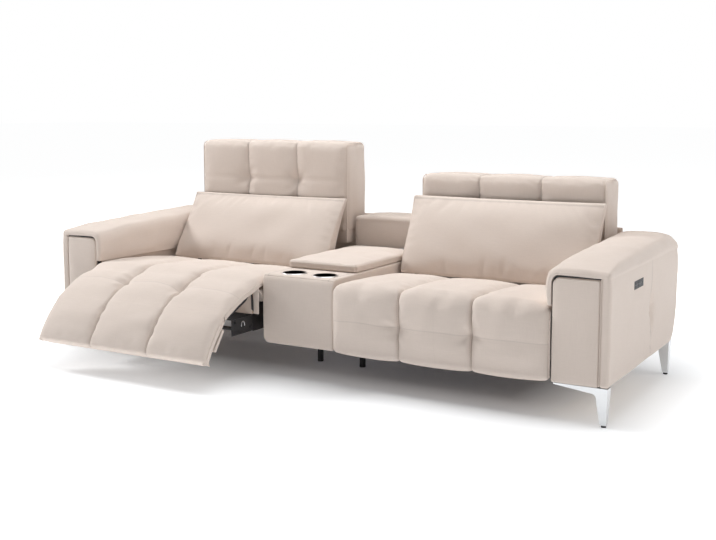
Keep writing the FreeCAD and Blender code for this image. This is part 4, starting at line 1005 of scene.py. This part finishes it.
def arm_side(side, sign):
    """The outer side with its vertical seam and pulled dimple, and the rear wrap."""
    top = SPLIT_Z - 1.0
    x0 = HALF - 36.0
    shell = block((x0, 0.4, BOTTOM + 0.4), (HALF - 1.0, ARM_DEPTH, SPLIT_Z + 12.0), 13.0, 14.0, 4)
    shell.points[:, 1] *= rear_edge(shell.points[:, 2]) / ARM_DEPTH
    _, y, z = shell.points.T.copy()
    out = np.clip(shell.normals[:, 0], 0, 1)
    away = y - ARM_SEAM_Y
    height = 2.5 + 1.0 * wave_noise(shell.points, 170.0, 51)
    height -= 4.5 * np.exp(-(away / 5.0) ** 2)
    height -= 17.0 * np.exp(-(away / 20.0) ** 2 - ((z - DIMPLE_Z) / 46.0) ** 2)
    angle = np.arctan2(z - DIMPLE_Z, away)
    reach = np.hypot(away, (z - DIMPLE_Z) * 0.6)
    height += 2.2 * np.cos(6 * angle) * np.exp(-((reach - 30) / 24.0) ** 2)
    height *= np.clip((top - z) / 30.0, 0, 1)
    plate_y0, plate_y1, plate_z0, plate_z1 = PLATE
    gap_y = np.maximum(np.maximum(plate_y0 - y, y - plate_y1), 0)
    gap_z = np.maximum(np.maximum(plate_z0 - z, z - plate_z1), 0)
    height *= 1 - np.exp(-(np.hypot(gap_y, gap_z) / 26.0) ** 2)
    shell.push(height * out)
    shell.seam(away, z, out > 0.5)
    front_line = [(HALF - 33.5, 1.5, z) for z in np.linspace(BOTTOM + 6, top - 4, 40)]
    rear = block((ARM_INNER + 2.4, 0, BOTTOM + 1.0), (x0 + 6.0, 34.0, top - 1.0), 9.0, 16.0)
    rear.push(3.0 * np.clip(rear.normals[:, 1], 0, 1) * (1 - rear.unit[:, 0] ** 4))
    rear.points[:, 1] += rear_edge(rear.points[:, 2]) - 36.0
    round_corner(rear.points, 0, 2, ARM_INNER + 2.4, top - 1.0, 28.0, -1, 1)
    lining = block((ARM_INNER + 0.2, 38.0, 288.0), (ARM_INNER + 1.8, 905.0, 432.0), 0.7, 30.0, 1)
    whole = joined([shell, tube(front_line, 2.0), rear, lining])
    made = build(side + "_arm_side_cover", whole, "cover", sign)
    pocket = block((HALF - 10.4, plate_y0 - 0.4, plate_z0 - 0.4),
                   (HALF + 30, plate_y1 + 0.4, plate_z1 + 0.4), 0.4, 60.0, 1)
    cut(made, build("pocket_cutter", pocket, "cover", sign, False))
    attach(made, "sofa_frame")
    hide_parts(side + "_arm_side_panel")


def arm_top(side, sign):
    """The pad over the arm: it wraps down the inner side and rolls down at the rear."""
    in_x = ARM_INNER - 2.0 - 22.0
    inner = ARM_INNER - 1.6
    low = SPLIT_Z + 0.6
    stations = np.concatenate([
        14.0 * (1 - np.cos(np.linspace(0, math.pi / 2, 7))), np.arange(26.0, 830.0, 15.0),
        np.linspace(838.0, ARM_DEPTH - 14, 14)])
    tops = np.interp(stations, [0, 14, 145, 300, 465, 700, 845, 900, 930, 956],
                     [546, 551, 569, 578, 585, 593, 598, 592, 579, 560])
    rings = []
    for y, top in zip(stations, tops):
        bend = min(46.0, 0.8 * (top - low))
        outer = [(in_x + 5.0, 417.0), (in_x - 0.5, 450.0), (in_x - 1.0, 490.0),
                 (in_x + 1.0, top - 42), (in_x + 12, top - 13), (in_x + 40, top - 2),
                 (ARM_INNER + 70, top + 4), (HALF - 90, top + 4), (HALF - bend, top - 1),
                 (HALF - 0.29 * bend, top - 0.29 * bend), (HALF - 0.6, top - bend), (HALF - 0.9, low - 2)]
        _, curve = spline(outer, 6.0)
        t = np.linspace(0, 1, 84)
        steps = np.linspace(0, 1, len(curve))
        curve = np.column_stack([np.interp(t, steps, curve[:, 0]), np.interp(t, steps, curve[:, 1])])
        tangent = np.gradient(curve, axis=0)
        tangent /= np.linalg.norm(tangent, axis=1)[:, None]
        normal = np.column_stack([-tangent[:, 1], tangent[:, 0]])
        drop = float(edge_drop(np.array(y), 14.0))
        fade = np.clip(np.minimum(t, 1 - t) / 0.05, 0, 1)
        at = np.full(len(t), y)
        noise = wave_noise(np.column_stack([t * 500, at]), 170.0, 61) * 1.2
        pleats = wave_noise(np.column_stack([t * 500 * 0.4, at]), 48.0, 62)
        noise += pleats * 0.5 * np.exp(-y / 90.0)
        curve = curve + normal * (noise * fade - min(drop, 10.0))[:, None]
        wrap = 28.0
        inside = [(HALF - 6.0, low - 3), (ARM_INNER + 80, low), (inner + wrap, low)]
        inside += [(inner + wrap * (1 - math.sin(a)), low - wrap * (1 - math.cos(a)))
                   for a in np.linspace(0.3, math.pi / 2 - 0.3, 4)]
        inside += [(inner, low - wrap), (inner, 418.0)]
        rings.append([(x, y, z) for x, z in [*curve, *inside]])
    count = len(rings[0])
    points = np.array(rings).reshape(-1, 3)
    faces = []
    for i in range(len(rings) - 1):
        for k in range(count):
            a, b = i * count + k, i * count + (k + 1) % count
            faces.append([a, b, b + count, a + count])
    faces.append(list(range(count)))
    faces.append([(len(rings) - 1) * count + k for k in range(count)][::-1])
    shell = Shell(points, faces)
    hem = [(in_x + 14.0, y, 417.8) for y in np.linspace(8, 930, 70)]
    made = build(side + "_arm_top_cover", joined([shell, tube(hem, 2.1)]), "cover", sign)
    sharp_over(made, 50.0)
    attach(made, "sofa_frame")
    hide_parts(side + "_arm_top_pad")


def console_body():
    """The console's cover: rounded nose, a side band by each edge, holes for cups and bin."""
    low = (-CONSOLE_HALF + 0.5, CONSOLE_FRONT + 0.5, BOTTOM + 0.5)
    high = (CONSOLE_HALF - 0.5, CONSOLE_REAR - 1, CONSOLE_TOP - 0.1)
    shell = block(low, high, 7.0, 13.0)
    u, _, v = shell.unit.T
    up = np.clip(shell.normals[:, 2], 0, 1)
    front = np.clip(-shell.normals[:, 1], 0, 1)
    x, y, z = shell.points.T.copy()
    band = CONSOLE_HALF - 24.0
    cups = np.minimum(np.hypot(x - CUP_XS[0], y - CUP_Y), np.hypot(x - CUP_XS[1], y - CUP_Y))
    clear = np.clip((cups - 58.0) / 40.0, 0, 1) * (y < 190)
    height = up * 2.2 * clear * (1 - u ** 6) + front * 4.0 * (1 - u ** 4) * (1 - v ** 6)
    height -= up * 1.4 * np.exp(-((np.abs(x) - band) / 3.0) ** 2)
    height += front * 0.8 * wave_noise(shell.points, 130.0, 71)
    shell.push(height)
    round_corner(shell.points, 1, 2, CONSOLE_FRONT, CONSOLE_TOP, 26.0, -1, 1)
    round_corner(shell.points, 0, 2, -CONSOLE_HALF, BOTTOM, 30.0, -1, -1)
    shell.seam(np.abs(x) - band, y + z, up > 0.5)
    made = build("console_cover", shell, "cover")
    for x in CUP_XS:
        hole = tube([(x, CUP_Y, CONSOLE_TOP - 74.0), (x, CUP_Y, CONSOLE_TOP + 20.0)], CUP_HOLE, 72)
        cut(made, build("cup_cutter", hole, "cover", 1, False))
    bin_x0, bin_x1, bin_y0, bin_y1 = BIN
    room = block((bin_x0 - 0.3, bin_y0 - 0.3, 239.5),
                 (bin_x1 + 0.3, bin_y1 + 0.3, CONSOLE_TOP + 20), 0.5, 80.0, 1)
    cut(made, build("bin_cutter", room, "cover", 1, False))
    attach(made, "sofa_frame")
    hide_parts("console_body")


def console_lid():
    """The padded lid: crowned top panel, a narrow band below it and piping between."""
    half = CONSOLE_HALF - 2.4
    y0, y1, z0, z1 = 205.4, 754.6, 430.6, 464.0
    shell = block((-half, y0, z0), (half, y1, z1), 12.0, 13.0)
    u, w, _ = shell.unit.T
    up = np.clip(shell.normals[:, 2], 0, 1)
    out = 1 - np.abs(shell.normals[:, 2])
    crown = (1 - np.abs(u) ** 3) * (1 - np.abs(w) ** 4)
    height = up * (13.0 * crown + 1.2 * wave_noise(shell.points, 140.0, 81))
    height -= out * 1.6 * np.exp(-((shell.points[:, 2] - (z0 + 12)) / 2.5) ** 2)
    shell.push(height)
    for sx in (-1, 1):
        round_corner(shell.points, 0, 1, sx * half, y0, 14.0, sx, -1)
    shell.held = (up < 0.8) | (np.abs(u) > 0.95) | (np.abs(w) > 0.97)
    h, g, level = half - 1.6, y0 + 1.6, z1 - 7.5
    turn = [(13 * (1 - math.cos(a)), 13 * (1 - math.sin(a))) for a in np.linspace(0.1, 1.47, 7)]
    line = [(-h, y, level) for y in np.linspace(y1 - 8, g + 14, 40)]
    line += [(-h + slow, g + fast, level) for slow, fast in turn]
    line += [(x, g, level) for x in np.linspace(-h + 14, h - 14, 28)]
    line += [(h - fast, g + slow, level) for slow, fast in turn]
    line += [(h, y, level) for y in np.linspace(g + 14, y1 - 8, 40)]
    whole = joined([shell, tube(line, 1.9)])
    made = build("console_lid_cover", whole, "cover")
    inflate(made, whole.held, 1.5, 3.0)
    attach(made, "console_lid")
    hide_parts("console_lid")


def console_rest():
    """The padded back rest behind the lid."""
    half = CONSOLE_HALF - 0.5
    y0, y1, z0, z1 = 775.5, 965.5, BOTTOM + 0.5, 603.0
    shell = block((-half, y0, z0), (half, y1, z1), 20.0, 13.0, 5)
    u = shell.unit[:, 0]
    up = np.clip(shell.normals[:, 2], 0, 1)
    front = np.clip(-shell.normals[:, 1], 0, 1)
    noise = 0.9 * wave_noise(shell.points, 140.0, 91)
    shell.push(up * 9.0 * (1 - u ** 2) + front * 3.0 * (1 - u ** 4) + noise)
    lines = []
    for x in (-half + 4.0, half - 4.0):
        line = [(x, y0 + 4.5, z) for z in np.linspace(z0 + 20, z1 - 24, 30)]
        line += [(x, y0 + 4.5 + 18 * (1 - math.cos(a)), z1 - 22.5 + 18 * math.sin(a))
                 for a in np.linspace(0.15, 1.5, 7)]
        line += [(x, y, z1 - 4.4) for y in np.linspace(y0 + 28, y1 - 24, 12)]
        lines.append(tube(line, 2.2))
    made = build("console_back_rest_cover", joined([shell] + lines), "cover")
    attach(made, "sofa_frame")
    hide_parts("console_back_rest")


def back_panels():
    """The covers of both rear panels, each with a middle seam."""
    shells = []
    for sign in (1, -1):
        shell = block((174.0, 950.4, BOTTOM + 0.4), (1086.0, 967.6, 599.6), 6.0, 18.0, 3, (REAR_SEAM_X,))
        x, y, z = shell.points.T.copy()
        narrow = np.clip((z - 418.0) / 6.0, 0, 1) * np.clip((x - 900) / 186, 0, 1)
        shell.points[:, 0] -= 24.5 * narrow
        out = np.clip(shell.normals[:, 1], 0, 1)
        away = x - REAR_SEAM_X
        height = 1.6 * (1 - shell.unit[:, 0] ** 4) * (1 - shell.unit[:, 2] ** 4)
        height -= 1.6 * np.exp(-(away / 5.0) ** 2)
        shell.push(out * (height + 0.5 * wave_noise(shell.points, 150.0, 97)))
        shell.seam(away, z, out > 0.5)
        shell.points[:, 0] *= sign
        shells.append(shell)
    made = build("back_panel_covers", joined(shells), "cover")
    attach(made, "sofa_frame")
    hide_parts("back_panels")


# Hardware

def bolt_head(x, y, z, toward, size):
    """A hexagon head on a washer; toward is +1 or -1 along X."""
    washer, head, button = (1.35, 0.0, 1.2, 20), (1.0, 1.2, 4.6, 6), (0.55, 4.6, 5.2, 16)
    shells = []
    for share, start, end, sides in (washer, head, button):
        line = [(x + toward * start, y, z), (x + toward * end, y, z)]
        shells.append(tube(line, size * share, sides))
    return joined(shells)


def hardware(name, shells, slot, body, sign):
    """One object of small hard pieces that rides a body."""
    made = build(name, joined(shells), slot, sign)
    sharp_over(made, 35.0)
    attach(made, body)


def drive_frame(side, sign, opened):
    """Plates, cross tube and bracket that travel with the drive, and the plates below the apron."""
    shells, arches = [], []
    for x in (206.0, 1051.0):
        shells.append(block((x, 58.0, 190.0), (x + 4.0, 202.0, 256.0), 1.2, 40.0, 2))
        shells.append(block((x - 1.6, 66.0, 194.0), (x + 5.6, 150.0, 200.0), 1.0, 40.0, 2))
        for face, toward in ((x + 4.0, 1), (x, -1)):
            shells.append(bolt_head(face, 80.0, 242.0, toward, 6.0))
            shells.append(bolt_head(face, 184.0, 210.0, toward, 6.0))
            arch = [(face + toward * 0.8, 132 + 11 * math.sin(a), 226 + 15 * math.cos(a))
                    for a in np.linspace(-1.9, 1.9, 16)]
            arches.append(tube(arch, 2.0))
    shells.append(tube([(207.0, 130.0, 205.0), (1053.0, 130.0, 205.0)], 8.0, 24))
    shells.append(block((621.0, 121.5, 203.0), (638.0, 127.5, 246.0), 1.0, 20.0, 2))
    hangers = []
    for x0, x1 in ((216.0, 592.0), (668.0, 1045.0)):
        hangers.append(block((x0, 66.0, 232.0), (x1, 70.0, 279.5), 1.2, 60.0, 2))
    for x, face, toward in ((216.0, 219.0, 1), (1042.0, 1042.0, -1)):
        hangers.append(block((x, 66.0, 200.0), (x + 3.0, 190.0, 279.5), 1.2, 40.0, 2))
        hangers.append(bolt_head(face, 96.0, 250.0, toward, 5.0))
    slides = {"drive": (-DRIVE_STROKE, 0.0), "seat": SEAT_SLIDE}
    for name, parts, slot, body in (("drive_plates", shells, "dark_steel", "drive"),
                                    ("drive_arches", arches, "bright_steel", "drive"),
                                    ("deck_hangers", hangers, "dark_steel", "seat")):
        whole = joined(parts)
        if opened:
            whole.points = moved(whole.points, slides[body])
        hardware(side + "_" + name, [whole], slot, side + "_" + body, sign)


def side_hardware(side, sign, opened):
    """Bolts on the mechanism, the drive's plates, and the marks and socket tongue of the control plate."""
    slide = SEAT_SLIDE if opened else (0.0, 0.0)
    frame_bolts = []
    for x, toward in ((204.0, 1), (1055.0, -1)):
        for y, z in ((150.0, 222.0), (330.0, 222.0), (440.0, 222.0)):
            frame_bolts.append(bolt_head(x - toward * 7.0, y, z, toward, 4.6))
    hardware(side + "_frame_bolts", frame_bolts, "bright_steel", "sofa_frame", sign)
    seat_bolts = []
    for x, toward in ((200.8, 1), (1058.2, -1)):
        for y, z in ((330.0, 297.0), (470.0, 312.0)):
            seat_bolts.append(bolt_head(x, y + slide[0], z + slide[1], toward, 4.0))
    hardware(side + "_carriage_bolts", seat_bolts, "bright_steel", side + "_seat", sign)
    drive_frame(side, sign, opened)
    for word, middle in BUTTONS:
        marks = [block((HALF + 0.7, y - 1.9, 460.9), (HALF + 1.35, y + 1.9, 462.1), 0.2, 3.0, 1)
                 for y in (middle - 9.0, middle + 9.0)]
        made = build(side + "_" + word + "_marks", joined(marks), "marks", sign)
        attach(made, side + "_" + word + "_button")
    tongue = block((HALF - 6.6, 396.0, 460.6), (HALF - 1.2, 406.0, 462.2), 0.3, 4.0, 1)
    hardware(side + "_socket_tongue", [tongue], "marks", "sofa_frame", sign)


def dress_frame():
    """Gives every CAD node the finish of its material slot."""
    slots = {part["node"]: part["material_slot"] for part in frame["record"]["subparts"]}
    for name, node in frame["nodes"].items():
        material = finish(slots[name])
        if not node.material_slots:
            node.data.materials.append(material)
        for place in node.material_slots:
            place.material = material


# Stage

def stage():
    """Pale floor, soft light, white surroundings and the photograph's viewpoint."""
    look = bpy.context.scene.sofa_look
    scene = bpy.context.scene
    floor_mesh = bpy.data.meshes.new("floor")
    corners = [(x * FLOOR_REACH, y * FLOOR_REACH, 0) for x, y in ((-1, -1), (1, -1), (1, 1), (-1, 1))]
    floor_mesh.from_pydata(corners, [], [(0, 1, 2, 3)])
    floor = bpy.data.objects.new("floor", floor_mesh)
    scene.collection.objects.link(floor)
    made = Finish("pale_floor")
    x, y, _ = made.axes()
    beside = (x.absolute() - GLOW_START[0]).at_least(0.0)
    before = ((y - GLOW_MIDDLE).absolute() - GLOW_START[1]).at_least(0.0)
    far = ((beside ** 2.0 + before ** 2.0) ** 0.5 * 0.9).at_most(1.0)
    made.set("Base Color", made.mix(made.noise(3.0), (0.75, 0.765, 0.78, 1), (0.77, 0.785, 0.80, 1)))
    made.set("Emission Color", made.mix(far, (0.028, 0.031, 0.038, 1), (1.0, 1.0, 1.0, 1)))
    made.shader.inputs["Emission Strength"].default_value = look.floor_glow
    made.shader.inputs["Roughness"].default_value = 0.6
    made.shader.inputs["Specular IOR Level"].default_value = 0.25
    floor_mesh.materials.append(made.material)
    world = bpy.data.worlds.new("soft_white")
    scene.world = world
    world.use_nodes = True
    tree = world.node_tree
    root = Wire(tree, None)
    background = tree.nodes["Background"]
    background.inputs["Strength"].default_value = look.sky_strength
    toward = root.node("ShaderNodeTexCoord", output="Generated")
    height = root.node("ShaderNodeSeparateXYZ", {"Vector": toward}, output="Z")
    grey = height.at_least(0.0) * 0.8 + 0.2
    colour = root.node("ShaderNodeCombineColor", {"Red": grey, "Green": grey, "Blue": grey})
    tree.links.new(colour.socket, background.inputs["Color"])
    rays = root.node("ShaderNodeLightPath", output="Is Camera Ray")
    plain = tree.nodes.new("ShaderNodeBackground")
    plain.inputs["Color"].default_value = (1, 1, 1, 1)
    choice = tree.nodes.new("ShaderNodeMixShader")
    tree.links.new(rays.socket, choice.inputs["Fac"])
    tree.links.new(background.outputs[0], choice.inputs[1])
    tree.links.new(plain.outputs[0], choice.inputs[2])
    tree.links.new(choice.outputs[0], tree.nodes["World Output"].inputs["Surface"])
    lamps = (
        ("top_light", (0.2, 0.4, 4.3), (0.0, 0.2, 0.0), 3.6, look.top_power),
        ("right_light", (4.6, 1.1, 2.2), (0.5, 0.4, 0.4), 2.6, look.side_power),
        ("left_light", (-6.9, -0.8, 4.7), (0.0, 0.0, 0.4), 1.7, look.left_power),
    )
    for name, place, aim, size, power in lamps:
        lamp = bpy.data.lights.new(name, "AREA")
        lamp.shape = "SQUARE"
        lamp.size = size
        lamp.energy = power
        made = bpy.data.objects.new(name, lamp)
        made.location = place
        made.rotation_euler = (Vector(aim) - Vector(place)).to_track_quat("-Z", "Y").to_euler()
        scene.collection.objects.link(made)
    lens = bpy.data.cameras.new("camera")
    lens.sensor_width = 36.0
    lens.lens = look.lens
    lens.shift_x, lens.shift_y = CAMERA_SHIFT
    camera = bpy.data.objects.new("camera", lens)
    camera.location = (CAMERA_PLACE[0], CAMERA_PLACE[1] + ARM_FRONT, CAMERA_PLACE[2])
    camera.rotation_euler = (math.radians(90 - CAMERA_DOWN), 0.0, math.radians(CAMERA_TURN))
    scene.collection.objects.link(camera)
    scene.camera = camera
    scene.view_settings.view_transform = "Standard"


# Add-on classes

class SofaLook(bpy.types.PropertyGroup):
    """Sizes, colours and light that a user would change."""
    cover_colour: bpy.props.FloatVectorProperty(
        name="Cover colour", description="Colour of the upholstery", subtype="COLOR",
        default=(0.745, 0.645, 0.578), min=0.0, max=1.0)
    leg_colour: bpy.props.FloatVectorProperty(
        name="Leg colour", description="Colour of the cast legs", subtype="COLOR",
        default=(0.74, 0.75, 0.76), min=0.0, max=1.0)
    weave_pitch: bpy.props.FloatProperty(
        name="Weave pitch", description="Distance between threads, in millimetres",
        default=1.6, min=0.5, max=5.0)
    fullness: bpy.props.FloatProperty(
        name="Fullness", description="How full the seat's channels are", default=1.0, min=0.3, max=1.5,
        subtype="FACTOR")
    lens: bpy.props.FloatProperty(
        name="Lens", description="Focal length of the camera", default=52.75, unit="CAMERA")
    top_power: bpy.props.FloatProperty(
        name="Top light", description="Power of the overhead light", default=150.0, unit="POWER")
    side_power: bpy.props.FloatProperty(
        name="Side light", description="Power of the light at the right", default=38.0, unit="POWER")
    left_power: bpy.props.FloatProperty(
        name="Left light", description="Power of the high light at the left", default=390.0, unit="POWER")
    sky_strength: bpy.props.FloatProperty(
        name="Surrounding light", description="Strength of the even light all round", default=0.16, min=0.0)
    floor_glow: bpy.props.FloatProperty(
        name="Floor glow", description="White that the floor gives off away from the sofa",
        default=0.9, min=0.0)


class SOFA_OT_finishes(bpy.types.Operator):
    """Give every CAD node its finish"""
    bl_idname = "sofa.finishes"
    bl_label = "Finishes"

    def execute(self, context):
        dress_frame()
        return {"FINISHED"}


class SOFA_OT_seats(bpy.types.Operator):
    """Build both seats: foam, quilted cover, footrest flap with its lining, and apron cover"""
    bl_idname = "sofa.seats"
    bl_label = "Seats and footrests"

    def execute(self, context):
        for side, sign, opened in SIDES:
            seat_base(side, sign, opened)
            seat_cover(side, sign, opened)
            flap_cover(side, sign, opened)
            flap_lining(side, sign, opened)
            apron_cover(side, sign, opened)
        return {"FINISHED"}


class SOFA_OT_backs(bpy.types.Operator):
    """Build both back cushions"""
    bl_idname = "sofa.backs"
    bl_label = "Back cushions"

    def execute(self, context):
        for side, sign, opened in SIDES:
            back_cushion(side, sign, opened)
        return {"FINISHED"}


class SOFA_OT_headrests(bpy.types.Operator):
    """Build both headrest blocks"""
    bl_idname = "sofa.headrests"
    bl_label = "Headrests"

    def execute(self, context):
        for side, sign, opened in SIDES:
            headrest(side, sign, opened)
        return {"FINISHED"}


class SOFA_OT_arms(bpy.types.Operator):
    """Build the covers of both arms"""
    bl_idname = "sofa.arms"
    bl_label = "Arms"

    def execute(self, context):
        for side, sign, opened in SIDES:
            arm_front(side, sign)
            arm_side(side, sign)
            arm_top(side, sign)
        return {"FINISHED"}


class SOFA_OT_console(bpy.types.Operator):
    """Build the console's covers, its lid and back rest"""
    bl_idname = "sofa.console"
    bl_label = "Console"

    def execute(self, context):
        console_body()
        console_lid()
        console_rest()
        return {"FINISHED"}


class SOFA_OT_rear(bpy.types.Operator):
    """Build the covers of the rear panels"""
    bl_idname = "sofa.rear"
    bl_label = "Rear panels"

    def execute(self, context):
        back_panels()
        return {"FINISHED"}


class SOFA_OT_hardware(bpy.types.Operator):
    """Add the mechanism's plates and bolts, and the marks of the control plates"""
    bl_idname = "sofa.hardware"
    bl_label = "Hardware"

    def execute(self, context):
        for side, sign, opened in SIDES:
            side_hardware(side, sign, opened)
        return {"FINISHED"}


class SOFA_OT_stage(bpy.types.Operator):
    """Set up the floor, light and camera"""
    bl_idname = "sofa.stage"
    bl_label = "Stage"

    def execute(self, context):
        stage()
        return {"FINISHED"}


STEPS = ("finishes", "seats", "backs", "headrests", "arms", "console", "rear", "hardware", "stage")


class SOFA_PT_panel(bpy.types.Panel):
    """Lists the sofa's settings and steps"""
    bl_idname = "SOFA_PT_panel"
    bl_label = "Recliner sofa"
    bl_space_type = "VIEW_3D"
    bl_region_type = "UI"
    bl_category = "Sofa"

    def draw(self, context):
        look = context.scene.sofa_look
        for name in look.__annotations__:
            self.layout.prop(look, name)
        for step in STEPS:
            self.layout.operator("sofa." + step)


CLASSES = (SofaLook, SOFA_OT_finishes, SOFA_OT_seats, SOFA_OT_backs, SOFA_OT_headrests, SOFA_OT_arms,
           SOFA_OT_console, SOFA_OT_rear, SOFA_OT_hardware, SOFA_OT_stage, SOFA_PT_panel)


def register():
    for made in CLASSES:
        bpy.utils.register_class(made)
    bpy.types.Scene.sofa_look = bpy.props.PointerProperty(type=SofaLook)


def unregister():
    del bpy.types.Scene.sofa_look
    for made in reversed(CLASSES):
        bpy.utils.unregister_class(made)


def main():
    register()
    for step in STEPS:
        getattr(bpy.ops.sofa, step)()


if __name__ == "__main__":
    main()
